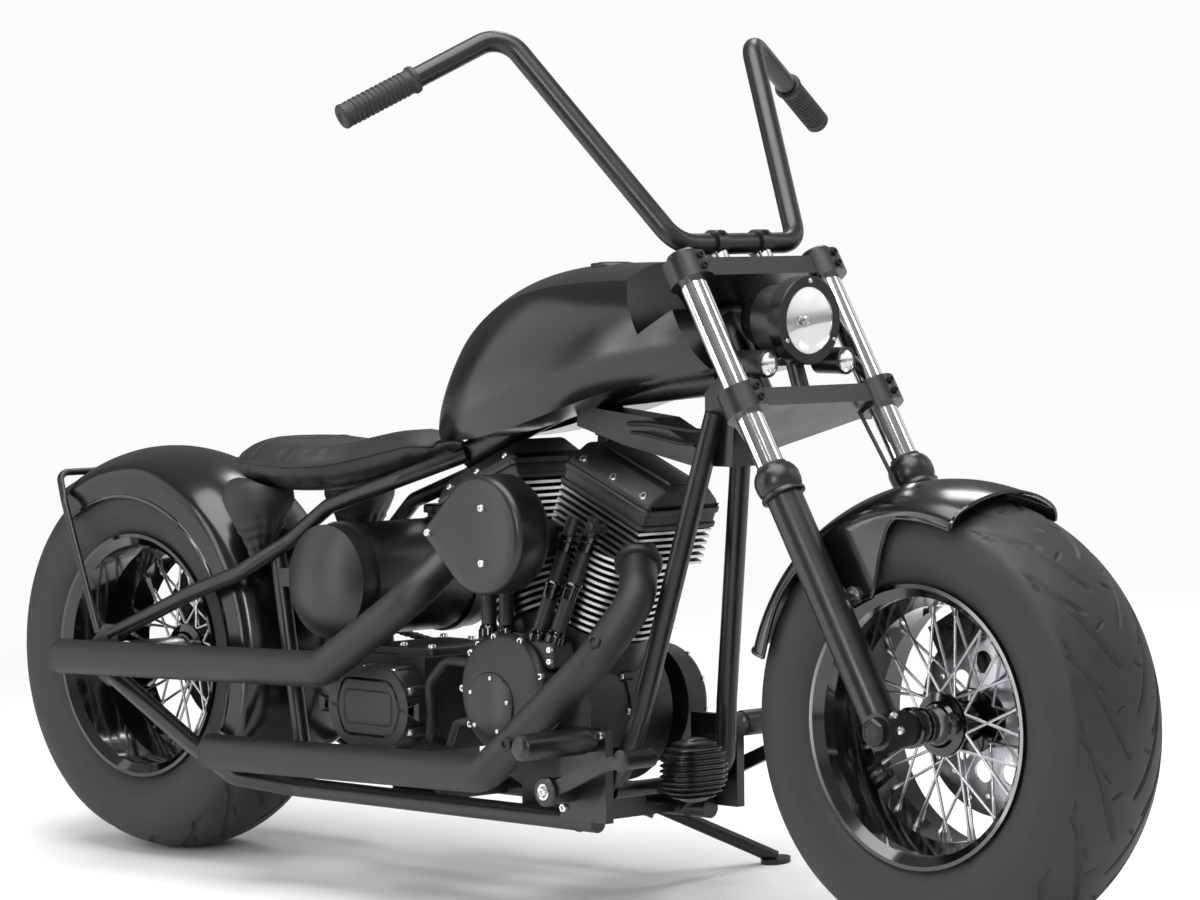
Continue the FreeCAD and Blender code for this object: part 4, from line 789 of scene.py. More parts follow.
def rear_reach(degrees):
    return np.full_like(degrees, 34.0)


class Fenders(Build, bpy.types.Operator):
    """Fenders as bent sheet with a wired edge."""
    bl_idname = "chopper.fenders"
    bl_label = "Fenders"

    def build(self, scene):
        for name, axle_x, body, span, reach_at in (("rear", 0.0, "chassis", (-24.0, 123.0), rear_reach),
                                                   ("front", WHEELBASE, "front_end", (73.0, 163.0), front_reach)):
            grid = fender_sheet(axle_x, *span, reach_at)
            points, faces = surface(grid)
            sheet = piece(name + "_fender_sheet", (points, faces), "tank_paint", body, flat_angle=60.0)
            add_modifier(sheet, "SOLIDIFY", thickness=0.0025, offset=-1.0)
            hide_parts(name + "_fender")
            skin = unit(np.cross(np.gradient(grid, axis=0), np.gradient(grid, axis=1)))
            edge = rim_of(grid)
            apart = np.linalg.norm(np.diff(edge, axis=0, append=edge[:1]), axis=1) > 0.5
            wire = sweep(edge[apart], 3.0, count=8, closed=True, hint=rim_of(skin)[apart])
            piece(name + "_fender_wire", wire, "gloss_enamel", body)


# ---------------------------------------------------------------- engine's right side
class AirCleaner(Build, bpy.types.Operator):
    """Teardrop air cleaner: rounded cover with a rolled shoulder and three screws, back plate and mouth."""
    bl_idname = "chopper.air_cleaner"
    bl_label = "Air cleaner"

    def build(self, scene):
        # outline in x and z from the crankshaft: a circle drawn out to a blunt tip at the rear
        bowl = arc3((-39.0, 222.0), (120.0, 284.0), (-39.0, 346.0), 65)
        tip = arc3((-96.0, 294.0), (-101.5, 284.0), (-96.0, 274.0), 9)
        outline = np.vstack([bowl, tip]) + (CRANK[0], CRANK[2])
        # towards the rolled shoulder the rings shrink about the bowl's middle by inset / bowl_r
        levels = [(176, 3.0), (178, 0.0), (214, 0.0), *soft_edge(214, 236.5, 12, 7)[1:], (237.6, 17), (239.0, 26)]
        middle = np.array([28.4, 284.0]) + (CRANK[0], CRANK[2])
        bowl_r = 91.6
        rings = [on_side()(*(middle + (outline - middle) * (1 - inset / bowl_r)).T, height)
                 for height, inset in levels]
        shell = surface(np.stack(rings), round_v=True, cap_u=True)
        cover = piece("air_cleaner_cover", shell, "powder_coat", flat_angle=60.0)
        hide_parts("air_cleaner")
        plate = pillow(outline, [(164, 10.0), (165, 8.0), (174, 8.0), (176, 10.0)], on_side())
        mouth = turned([(31, 150), (34, 152), (34, 164)], (CRANK[0] + 3, 0, CRANK[2] + 272), -Y, count=32)
        piece("air_cleaner_back", joined([plate, mouth]), "wrinkle_cast")
        places = np.array([(42.0, 326.0), (42.0, 242.0), (-80.0, 284.0)]) + (CRANK[0], CRANK[2])
        screws("air_cleaner_screws", on_side()(*places.T, 239.4), -Y, 5.6)


def cylinder_points(points, tilt):
    """Points made about an upright cylinder to the crankshaft's centre, tilted forward by tilt degrees."""
    c, s = math.cos(math.radians(tilt)), math.sin(math.radians(tilt))
    points = np.asarray(points, float)
    return np.stack([c * points[..., 0] + s * points[..., 2], points[..., 1],
                     c * points[..., 2] - s * points[..., 0]], -1) + CRANK


def tilted(shape, tilt):
    return cylinder_points(shape[0], tilt), shape[1]


CYLINDERS = (("front", 22.5), ("rear", -22.5))


class RockerBoxes(Build, bpy.types.Operator):
    """Rocker boxes: a flanged skirt, a faceted lid with softened edges, a rib and their cap screws."""
    bl_idname = "chopper.rocker_boxes"
    bl_label = "Rocker boxes"

    def build(self, scene):
        for name, tilt in CYLINDERS:
            skirt = rounded([(-98, -84), (98, -84), (98, 84), (-98, 84)], 16)
            flange = pillow(skirt, soft_edge(352, 360, 2.0, 3, both=True), level)
            body = pillow(skirt, [(360, 4.0), (376, 4.0), (378, 5.0)], level)
            flange_top = pillow(skirt, [(376, 2.0), (377, 0.6), (384, 0.6), (386, 2.6)], level)
            lid_side = rounded([(-80, 384), (80, 384), (76, 394), (46, 419), (-46, 419), (-76, 394)], 5)
            lid = pillow(lid_side, [(-96, 9), (-93, 4), (-88, 0.5), (88, 0.5), (93, 4), (96, 9)], crosswise)
            ridge_side = rounded([(-30, 415), (30, 415), (26, 423.5), (-26, 423.5)], 4)
            ridge = pillow(ridge_side, [(-78, 3), (-74, 0), (74, 0), (78, 3)], crosswise)
            shape = tilted(joined([flange, body, flange_top, lid, ridge]), tilt)
            box = piece(name + "_rocker_cover", shape, "wrinkle_cast", flat_angle=40.0)
            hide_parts(name + "_rocker_box")
            ys = [-66, 66]
            spots = np.array([(x, y, 397.0) for y in ys for x in (-70.0, 0.0, 70.0)])
            axes = np.array([(0.0, 0.62 * np.sign(y), 0.78) for y in ys for _ in range(3)])
            turned_axes = cylinder_points(axes, tilt) - CRANK
            piece(name + "_rocker_screws", arrayed(SCREW, cylinder_points(spots, tilt), turned_axes, 7.0),
                  "zinc")
            bosses = arrayed(turned([(9.5, -8), (9.5, -1.5), (8.5, -0.4)], count=16),
                             cylinder_points(spots, tilt), turned_axes)
            piece(name + "_rocker_bosses", bosses, "wrinkle_cast")


class CylinderTrim(Build, bpy.types.Operator):
    """Spark plugs with their leads' boots, and the pushrod tubes' collars."""
    bl_idname = "chopper.cylinder_trim"
    bl_label = "Cylinder trim"

    def build(self, scene):
        for name, tilt in CYLINDERS:
            plug = [turned(profile, (20, -78, 322), (0, -1, 0.15), count=sides) for profile, sides in (
                ([(9, 0), (9, 8)], 6), ([(6.2, 8), (6.2, 14), (8.5, 15), (8.0, 34), (5.0, 38)], 20))]
            piece(name + "_spark_plug", tilted(joined(plug), tilt), "grip_rubber")
        rods = np.array([(foot, top) for foot, top in ((-86, -125), (-46, -84), (22, 74), (62, 122))], float)
        feet = CRANK + np.stack([rods[:, 0], np.full(4, -108.0), np.full(4, 116.0)], -1)
        tops = CRANK + np.stack([rods[:, 1], np.full(4, -74.0), np.full(4, 306.0)], -1)
        run = unit(tops - feet)
        foot_cup = turned([(15, -4), (17, -2), (17, 9), (15.5, 11), (14, 16), (12.2, 17)], count=24)
        clip = turned([(12.3, -22), (13.6, -21), (13.6, -4), (14.8, -3), (14.8, 3), (13.2, 5), (12.3, 6)],
                      count=24)
        top_cup = turned([(12.2, -14), (15, -12), (15, 2), (17, 4), (17, 12)], count=24)
        shapes = [arrayed(shape, at, run) for shape, at in ((foot_cup, feet), (clip, feet + run * 90),
                                                            (top_cup, tops - run * 42))]
        piece("pushrod_collars", joined(shapes), "gloss_enamel")


class CamSide(Build, bpy.types.Operator):
    """Cam cover with a rounded rim, screw bosses, a domed timing cover and the tappet blocks."""
    bl_idname = "chopper.cam_side"
    bl_label = "Cam side"

    def build(self, scene):
        centre = np.array([CRANK[0] - 30, CRANK[2] + 28])
        angle = np.linspace(0, 2 * math.pi, 97)[:-1]
        # a circle that swells to the front and above, like the housing of a gear train
        reach = 92 + 10 * np.exp(-((angle - 0.9) / 0.7) ** 2) + 6 * np.exp(-((angle - 2.4) / 0.6) ** 2)
        outline = polar(centre, reach, angle)
        rim = pillow(outline, [*soft_edge(88, 112, 3, 4), (112.5, 6)], on_side())
        face = pillow(outline, [(108, 9.0), *soft_edge(110, 139, 12, 6)[1:], (141, 22), (142, 40)], on_side())
        bolt_at = np.radians([22, 64, 100, 138, 176, 214, 256, 300, 338])
        bolt_r = np.interp(bolt_at % (2 * math.pi), angle, reach) - 4.5
        spots = polar(centre, bolt_r, bolt_at)
        boss = turned([(8.5, 0), (8.5, 40), (7.5, 42.5)], count=20)
        bosses = arrayed(boss, on_side()(*spots.T, 90.0), -Y)
        cover = piece("cam_housing", joined([rim, face, bosses]), "wrinkle_cast", flat_angle=40.0)
        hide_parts("cam_cover")
        screws("cam_housing_screws", on_side()(*spots.T, 132.5), -Y, 5.4)
        timing = CRANK + (-48, 0, 12)
        dome = turned([(52, 138), (52, 143), (50.5, 145), (47, 146), (30, 148.6), (12, 150)], timing, -Y, count=72)
        piece("timing_cover", dome, "powder_coat")
        at = np.radians([10, 82, 154, 226, 298])
        ring = polar(timing[[0, 2]], 43.5, at)
        screws("timing_cover_screws", on_side()(*ring.T, 146.4), -Y, 3.4)
        blocks, heads = [], []
        for low, high in ((-100, -28), (6, 78)):
            x0, x1, z0, z1 = CRANK[0] + low, CRANK[0] + high, CRANK[2] + 74, CRANK[2] + 116
            side = rounded([(x0, z0), (x1, z0), (x1 - 3, z1), (x0 + 3, z1)], 7)
            blocks.append(pillow(side, soft_edge(84, 125, 4, 4), on_side()))
            heads += [(x0 + 9, z0 + 30), (x1 - 9, z0 + 30), (x0 + 9, z0 + 12), (x1 - 9, z0 + 12)]
        piece("tappet_blocks", joined(blocks), "wrinkle_cast")
        screws("tappet_screws", on_side()(*np.array(heads, float).T, 125.0), -Y, 4.8)


class GearboxTrim(Build, bpy.types.Operator):
    """Gearbox side cover with a raised rim and a sunk panel, its screws, and the case's ribs and top lid."""
    bl_idname = "chopper.gearbox_trim"
    bl_label = "Gearbox trim"

    def build(self, scene):
        middle = np.array([655.0, 291.0])
        outline = middle + rounded([(-70, -66), (62, -66), (94, -20), (94, 20), (62, 66), (-70, 66), (-96, 20),
                                    (-96, -20)], 26)
        cover = pillow(outline, [*soft_edge(105, 146, 10, 6), (147.5, 17), (148, 19), (148, 24), (146.5, 25.5)],
                       on_side())
        frame_line = middle + rounded([(-58, -26), (54, -26), (54, 26), (-58, 26)], 12, 8)
        ring = sweep(on_side()(*frame_line.T, 146.6), 2.6, count=8, closed=True, hint=Y)
        spots = middle + [(-80, 48), (-20, 60), (50, 58), (86, 30), (86, -34), (44, -60), (-30, -60), (-82, -42)]
        boss = turned([(9, 0), (9, 30), (8, 32)], count=20)
        bosses = arrayed(boss, on_side()(*spots.T, 104.0), -Y)
        piece("gearbox_side_cover", joined([cover, ring, bosses]), "wrinkle_cast", flat_angle=40.0)
        screws("gearbox_screws", on_side()(*spots.T, 136.0), -Y, 6.0)
        lid = pillow(rounded([(574, -78), (728, -78), (728, 90), (574, 90)], 14), soft_edge(370, 384, 3, 4), level)
        piece("gearbox_lid", lid, "wrinkle_cast")
        tops = np.array([(x, y, 384.0) for x in (584.0, 651.0, 718.0) for y in (-68.0, 80.0)])
        screws("gearbox_lid_screws", tops, Z, 6.0)


class PrimaryTrim(Build, bpy.types.Operator):
    """Primary cover with a soft edge, its round clutch cover, inspection cover and rim screws."""
    bl_idname = "chopper.primary_trim"
    bl_label = "Primary cover"

    def build(self, scene):
        front, rear = CRANK[[0, 2]], SHAFT[[0, 2]]
        outline = np.vstack([polar(centre, r, np.radians(np.linspace(start, start + 176, 40)))
                             for centre, r, start in ((front, 96, -88), (rear, 84, 92))])
        levels = [(148, 0), (160, 0), (161, 5), (186, 5)]
        levels += [(height, inset + 5) for height, inset in soft_edge(186, 201, 12, 6)[1:]]
        shell = pillow(outline, levels, on_side(1.0))
        cover = piece("primary_housing", shell, "wrinkle_cast", flat_angle=50.0)
        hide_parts("primary_cover")
        clutch = turned([(66, 198), (66, 203), (63, 205.5), (40, 207), (10, 207.5)], SHAFT, Y, count=72)
        window = pillow(rounded([(880, 268), (1010, 268), (1010, 334), (880, 334)], 30, 10),
                        [(199, 0), (203, 0), (205, 2), (205.6, 6)], on_side(1.0))
        piece("primary_lids", joined([clutch, window]), "powder_coat")
        at = np.radians(np.arange(5) * 72 + 18.0)
        small = polar(rear, 56, at)
        corners = np.array([(893, 280), (997, 280), (893, 322), (997, 322)], float)
        screws("primary_lid_screws", on_side(1.0)(*np.vstack([small, corners]).T, 205.4), Y, 4.6)
        rim = outline[np.arange(4, 80, 7)]
        inward = unit(np.where(rim[:, :1] > 800, front, rear) - rim) * 8
        screws("primary_rim_screws", on_side(1.0)(*(rim + inward).T, 192.0), Y, 5.0)


# ---------------------------------------------------------------- seat
# side view of the seat: x, underside, top at the middle, half width, roundness of the side
SEAT_ROWS = np.array([
    (258, 664, 682, 30, 3), (268, 652, 696, 82, 8), (290, 640, 706, 116, 14), (330, 631, 709, 139, 18),
    (380, 627, 706, 148, 18), (430, 627, 702, 147, 18), (475, 630, 701, 134, 17), (520, 635, 706, 112, 16),
    (565, 646, 716, 93, 15), (610, 660, 725, 79, 14), (650, 674, 731, 68, 12), (682, 685, 726, 54, 9),
    (699, 694, 717, 30, 4)], float)


SEAT_POWER = 0.62          # squareness of the seat's section across


def seat_grid(count_v=96, shrink=0.0):
    """Sections across the seat, joined along it: a superellipse whose lower half is squarer than its upper.

    The top dips along the middle line, over a width that is a share of the half width.
    """
    rows = curve_through(SEAT_ROWS, 6)
    x, low, high, half, _ = rows.T
    angle = np.linspace(0, 2 * math.pi, count_v + 1)[:-1]
    c, s = np.cos(angle), np.sin(angle)
    wide = signed(c, SEAT_POWER)
    tall = np.where(s > 0, np.abs(s) ** 0.8, -np.abs(s) ** 0.55)
    middle, reach = (low + high) / 2 - 6, (high - low) / 2
    y = (half - shrink)[:, None] * wide * (1 - 0.05 * (s < 0) * np.abs(s))
    z = middle[:, None] + np.where(s > 0, reach[:, None] + 6, reach[:, None] - 6) * tall
    dip = 7.0 * np.exp(-(y / (0.30 * half[:, None] + 8)) ** 2) * (s > 0)
    z = z - shrink * tall - dip * (step(300, 380, x) * (1 - step(600, 660, x)))[:, None]
    return np.stack([np.broadcast_to(x[:, None], y.shape), y, z], -1)


def baked(obj):
    """Applies all modifiers of an object to its mesh, keeping its material."""
    graph = bpy.context.evaluated_depsgraph_get()
    mesh = bpy.data.meshes.new_from_object(obj.evaluated_get(graph))
    materials = list(obj.data.materials)
    obj.modifiers.clear()
    obj.data = mesh
    mesh.materials.clear()
    for material in materials:
        mesh.materials.append(material)


def coordinates(mesh):
    flat = np.empty(len(mesh.vertices) * 3, np.float32)
    mesh.vertices.foreach_get("co", flat)
    return flat.reshape(-1, 3).astype(float)


def puffed(obj, most, frames=20):
    """Swells a closed skin as stuffed cloth under pressure, no point moving further than most metres."""
    before = coordinates(obj.data)
    cloth = add_modifier(obj, "CLOTH")
    cloth.settings.use_pressure = True
    cloth.settings.uniform_pressure_force = 4.0
    cloth.settings.effector_weights.gravity = 0.0
    for frame_number in range(1, frames + 1):
        bpy.context.scene.frame_set(frame_number)
    baked(obj)
    bpy.context.scene.frame_set(1)
    moved = coordinates(obj.data) - before
    length = np.linalg.norm(moved, axis=1, keepdims=True)
    capped = before + moved * np.minimum(1.0, most / np.maximum(length, 1e-9))
    obj.data.vertices.foreach_set("co", capped.astype(np.float32).ravel())
    obj.data.update()


def settled(points, target, above):
    """Points in the upright layout moved onto the nearest place of a piece's skin, then above it in mm."""
    mesh = bpy.data.meshes.new("settling")
    mesh.from_pydata(placed(points).tolist(), [], [])
    probe = bpy.data.objects.new("settling", mesh)
    bpy.context.scene.collection.objects.link(probe)
    add_modifier(probe, "SHRINKWRAP", target=target, offset=above / 1000.0)
    graph = bpy.context.evaluated_depsgraph_get()
    found = coordinates(probe.evaluated_get(graph).to_mesh())
    bpy.data.objects.remove(probe)
    bpy.data.meshes.remove(mesh)
    return (found - REAR_HUB) @ BASIS.T * 1000.0 + (0.0, 0.0, TYRE_R)


class Seat(Build, bpy.types.Operator):
    """Solo saddle: a stuffed leather pad with a piped edge and two cross seams."""
    bl_idname = "chopper.seat"
    bl_label = "Seat"

    def build(self, scene):
        pad = piece("seat_cushion", surface(seat_grid(shrink=5.0), round_v=True, cap_u=True), "leather")
        add_modifier(pad, "REMESH", mode="VOXEL", voxel_size=0.005)
        baked(pad)
        puffed(pad, 0.008)
        add_modifier(pad, "SUBSURF", levels=1, render_levels=1)
        baked(pad)
        pad.data.shade_smooth()
        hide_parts("seat_pad")
        grid = seat_grid()
        count = grid.shape[1]
        edge_at = int(round(count * 0.035))
        left, right = grid[2:-2, edge_at], grid[2:-2, count // 2 - edge_at]
        nose, tail = grid[-3, edge_at:count // 2 - edge_at], grid[2, edge_at:count // 2 - edge_at]
        edge = np.vstack([left, nose[1:], right[::-1][1:], tail[::-1][1:-1]])
        path = settled(edge, pad, 0.6)
        piping = piece("seat_piping", sweep(path, 2.6, count=8, closed=True, hint=Z), "leather")
        seams = []
        for x in (318.0, 352.0):
            row = int(np.argmin(np.abs(grid[:, 0, 0] - x)))
            path = settled(grid[row, edge_at:count // 2 - edge_at + 1], pad, 0.2)
            seams.append(sweep(path, 1.5, count=6, hint=X))
        piece("seat_seams", joined(seams), "leather")


# height and radius of a boot on the seat's springs, from its foot up and in under the seat
BOOT_ROWS = np.array([
    (502, 14), (512, 16), (527, 20), (543, 28), (562, 40), (585, 50), (606, 58.5), (618, 58.5), (629, 56),
    (637, 51.5), (642, 45), (645, 36), (646, 24), (646, 6)], float)
BOOT_AT = np.array([346.0, -110.0])


class Boot(Build, bpy.types.Operator):
    """Two gathered leather boots over the seat's springs, one each side, laced on the inner front."""
    bl_idname = "chopper.boot"
    bl_label = "Seat boots"

    def build(self, scene):
        rows = curve_through(BOOT_ROWS, 5)
        angle = np.arange(160) * 2 * math.pi / 160
        z = np.repeat(rows[:, :1], 160, 1)
        # the radius shrinks in folds that deepen towards the foot, so it never passes the plain bulb
        gather = 0.01 + 0.1 * (1 - step(548, 596, z))
        waves = 1 + np.sin(11 * angle + 3 * np.sin(2 * angle) + z / 19)
        waves = waves * (0.6 + 0.4 * np.sin(3 * angle + z / 11))
        creases = 0.03 * (1 - step(560, 600, z)) * (1 + np.sin(z / 2.6 + 1.6 * np.sin(3 * angle)))
        radius = rows[:, 1:2] * (1 - gather * np.abs(waves) / 2 - creases)
        x = BOOT_AT[0] + radius * np.cos(angle)
        y = BOOT_AT[1] + radius * np.sin(angle)
        # the top follows the pad's underside 1.5 mm below it, and past the pad's edge it rises beside it
        _, low, high, half, _ = (np.interp(x, SEAT_ROWS[:, 0], column) for column in SEAT_ROWS.T)
        share = np.clip(np.abs(y) / half, 0.0, 1.0) ** (1 / SEAT_POWER)
        under = (low + high) / 2 - 6 - ((high - low) / 2 - 6) * (1 - share ** 2) ** 0.275
        z = np.minimum(z, under - 1.5 + 40.0 * step(1.0, 6.0, np.abs(y) - half))
        boot = surface(np.stack([x, y, z], -1), round_v=True, cap_u=True)
        boots = piece("seat_boot_leather", both_sides(boot), "leather", flat_angle=80.0)
        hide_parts("seat_boot")
        up = np.linspace(530, 584, 9)
        reach = np.interp(up, BOOT_ROWS[:9, 0], BOOT_ROWS[:9, 1]) - 0.8
        zigzag = np.radians(40.0 + 16.0 * (-1.0) ** np.arange(9))
        laces = []
        for turn in (zigzag, np.radians(80.0) - zigzag):
            path = np.stack([BOOT_AT[0] + reach * np.cos(turn), BOOT_AT[1] + reach * np.sin(turn), up], -1)
            laces.append(sweep(path, 1.3, count=6, hint=Z))
        piece("boot_laces", both_sides(joined(laces)), "leather")


# ---------------------------------------------------------------- front end
FORK_HALF = 144.0
LEG_TOP = 345.0
LAMP = TOP_CLAMP + (108.3, 0.0, -73.8)
BAR_LOW = np.array([-36.7, 128.0, 40.2])
BAR_HIGH = np.array([-265.7, 265.0, 358.2])
BAR_END = np.array([-351.7, 510.0, 232.2])
GRIP_LENGTH = 128.0
RISER_HALF = 47.0


def lamp_parts(face, radius, depth, outer):
    """Bezel ring, dished reflector with its bulb, and domed lens of a round lamp that looks ahead from face.

    The reflector's depth grows with the square of the distance from its rim, the lens's height falls so.
    """
    r = np.linspace(radius - 0.8, radius * 0.16, 12)
    hollow = -1.2 - (depth - 1.6) * (1 - (r / radius) ** 2)
    dish = [(radius - 0.5, -depth), (radius - 0.5, -1.0)] + list(zip(r, hollow))
    bulb = [(radius * 0.12, -depth), (radius * 0.15, -depth * 0.5), (radius * 0.12, -1.0), (radius * 0.05, 0.6)]
    v = np.linspace(0.6, radius - 0.4, 10)
    dome = radius * 0.14 * (1 - (v / radius) ** 2)
    lens = list(zip(v, dome)) + list(zip(v[::-1], dome[::-1] + 2.2))
    rim = [(radius - 0.2, -3), (radius - 0.1, 2.4), (radius + 1.0, 3.2), (outer - 1.6, 3.2), (outer, 1.6),
           (outer, -radius * 0.42), (outer - 2, -radius * 0.46), (radius, -radius * 0.46)]
    return (turned(rim, face, X, count=72, closed=True), turned(dish, face, X, count=72),
            turned(bulb, face, X, count=32), turned(lens, face, X, count=72))


class Lamps(Build, bpy.types.Operator):
    """Headlight and its two small lamps: rings, polished reflectors, bulbs and clear lenses."""
    bl_idname = "chopper.lamps"
    bl_label = "Lamps"

    def build(self, scene):
        faces = [(LAMP, 50.0, 9.8, 66.0)] + [(LAMP + (-4.0, y, -62.0), 17.0, 6.8, 20.6) for y in (-84.0, 84.0)]
        rims, dishes, bulbs, lenses = zip(*(lamp_parts(*row) for row in faces))
        piece("lamp_rings", joined(rims), "powder_coat", "front_end")
        turns = np.radians([90.0, 210.0, 330.0])
        spots = LAMP + np.stack([np.full(3, 3.0), 58.5 * np.cos(turns), 58.5 * np.sin(turns)], -1)
        screws("lamp_ring_screws", spots, X, 3.4, "front_end")
        piece("lamp_reflectors", joined(dishes), "reflector", "front_end")
        piece("lamp_bulbs", joined(bulbs), "stainless", "front_end")
        glass = piece("lamp_lenses", joined(lenses), "lamp_glass", "front_end")
        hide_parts("lamp_glasses")


class ForkTrim(Build, bpy.types.Operator):
    """The fork's tube caps, bell-shaped leg tops, seals and pinch screws, axle nuts and spacer, fender bolts."""
    bl_idname = "chopper.fork_trim"
    bl_label = "Fork trim"

    def build(self, scene):
        for side, y in (("right", -FORK_HALF), ("left", FORK_HALF)):
            cap = turned([(24, -4), (24, 5), (21.5, 8.5), (13, 9.6), (12.5, 7.5)], fork(-21, 0, y), -DOWN,
                         count=40)
            bell = turned([(20.9, -12), (24, -12), (28, -10), (32, -4), (34.5, 4), (34.5, 14), (33, 22),
                           (30.5, 26), (31.5, 27), (33.5, 30), (33.5, 34), (30, 36), (27.2, 36), (27.2, 0.4),
                           (20.9, 0.4)], fork(LEG_TOP, 0, y), DOWN, count=64, closed=True)
            piece(side + "_fork_collars", joined([cap, bell]), "powder_coat", "front_end")
            seal = turned([(20.7, -17), (22.6, -17), (23.4, -15), (23.2, -12.3), (20.7, -12.3)],
                          fork(LEG_TOP, 0, y), DOWN, count=48, closed=True)
            piece(side + "_dust_seal", seal, "grip_rubber", "front_end")
        rows = [fork(down, 34.0, y) for down in (-9.0, 9.0, 213.0, 231.0) for y in (-FORK_HALF, FORK_HALF)]
        screws("clamp_pinch_screws", np.array(rows), AHEAD, 5.2, "front_end", finish="black_screw")
        rows = [fork(FORK_LENGTH + d, 33.0, y) for d in (-12.0, 12.0) for y in (-FORK_HALF - 8, FORK_HALF + 8)]
        screws("axle_pinch_screws", np.array(rows), AHEAD, 5.6, "front_end")
        axle = np.array([WHEELBASE, 0.0, TYRE_R])
        nut = turned([(19, 171), (21, 172), (21, 181), (18, 184), (14.5, 184.5), (13, 182)], axle, Y, count=6)
        steps = turned([(20.3, 67.5), (25, 68), (27.5, 74), (27.5, 80), (24.5, 81), (24.5, 92), (30, 93),
                        (30, 104), (26, 106), (26, 115.5), (20.3, 115.5)], axle, -Y, count=48, closed=True)
        piece("front_axle_nuts", both_sides(nut), "dark_steel", "front_end")
        piece("front_axle_spacer", steps, "gloss_enamel", "front_end")
        lug = FORK_LENGTH - (302.0 - 0.855 * 110.0)
        washer = turned([(8.2, 115.2), (14, 115.4), (14, 119), (8.2, 120)], fork(lug, 22, 0), Y, count=32,
                        closed=True)
        stay = turned([(6, 111), (10.5, 111.4), (10.5, 106), (8.5, 104)], fork(lug, 22, 0), Y, count=6)
        piece("fender_bolts", both_sides(joined([washer, stay])), "zinc", "front_end")


class BarTrim(Build, bpy.types.Operator):
    """Ribbed rubber grips with end caps and inner flanges, and the risers' screws, feet and bright posts."""
    bl_idname = "chopper.bar_trim"
    bl_label = "Handlebar trim"

    def build(self, scene):
        run = unit(BAR_END - BAR_HIGH)
        start = TOP_CLAMP + BAR_END - run * GRIP_LENGTH
        t = np.linspace(9, GRIP_LENGTH - 8, 130)
        wave = np.clip(np.sin(2 * math.pi * t / 8.0) * 2.2, -1, 1)
        ribs = 18.6 + 0.75 * wave * step(12, 18, t) * (1 - step(112, 118, t))
        profile = [(16.3, -3), (20.5, -2.6), (21.6, -0.5), (21.6, 4), (20, 6)] + list(zip(ribs, t))
        profile += [(r, GRIP_LENGTH + end) for r, end in ((19.4, -5), (19.4, -1), (17.5, 1.2), (8, 1.8), (7, 0.2))]
        grips = piece("bar_grips", both_sides(turned(profile, start, run, count=56)), "grip_rubber", "front_end")
        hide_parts("grips")
        low = TOP_CLAMP + BAR_LOW * (1, 0, 1)
        rows = np.array([low + (dx, y, 16.0) for dx in (-13.0, 13.0) for y in (-RISER_HALF, RISER_HALF)])
        screws("riser_screws", rows, Z, 4.6, "front_end", finish="black_screw")
        feet = np.array([fork(-15.0, -13.0, y) for y in (-RISER_HALF, RISER_HALF)])
        rise = low - feet + [(0, -RISER_HALF, 0), (0, RISER_HALF, 0)]
        foot = turned([(11.2, 0), (17, 0.5), (17, 3), (15, 6), (11.2, 8)], count=36, closed=True)
        piece("riser_feet", arrayed(foot, feet, rise), "powder_coat", "front_end")
        post = turned([(11.2, 7.5), (12.6, 8), (12.6, 24), (11.2, 24.5)], count=36, closed=True)
        piece("riser_posts", arrayed(post, feet, rise), "stainless", "front_end")


class Calipers(Build, bpy.types.Operator):
    """Piston housings and bridge bolts on both brake calipers."""
    bl_idname = "chopper.calipers"
    bl_label = "Brake calipers"

    def build(self, scene):
        # name, body, axle's X, angle and distance from the axle, faces' Y, half distance of the piston bores
        rows = (("front", "front_end", WHEELBASE, 118.0, 138.0, 110.0, 70.0, 21.0),
                ("rear", "chassis", 0.0, 142.0, 132.0, 128.0, 98.0, 0.0))
        for name, body, axle_x, degrees, reach, y_out, y_in, spread in rows:
            a = math.radians(degrees)
            out = np.array([math.cos(a), 0, math.sin(a)])
            along = np.array([-math.sin(a), 0, math.cos(a)])
            middle = np.array([axle_x, 0, TYRE_R]) + out * (reach + 2)
            spots = sorted({-spread, spread})
            bores = [turned([(18, -1), (18, 2.4), (16, 3.6), (9, 3.8), (8.2, 2.2)], middle + along * v + Y * y,
                            Y * s, count=40) for v in spots for y, s in ((y_out, 1), (y_in, -1))]
            piece(name + "_caliper_bores", joined(bores), "wrinkle_cast", body)
            half = 38.0 if spread else 27.0
            bolts = np.array([middle + along * v + out * 16 + Y * y_out for v in (-half, half)])
            screws(name + "_caliper_bolts", bolts, Y, 5.6, body)


# ---------------------------------------------------------------- pipes, controls and small units
PIPE_Y = -205.0
UPPER_PIPE = np.array([(-60.0, PIPE_Y, 335.0), (610.0, PIPE_Y, 353.0), (798.0, -186.0, 474.0),
                       (812.0, -66.0, 566.0)])
LOWER_PIPE = np.array([(332.0, PIPE_Y, 202.0), (985.0, PIPE_Y, 214.0), (1192.0, -172.0, 396.0),
                       (1230.0, -112.0, 490.0), (1170.0, -50.0, 556.0)])


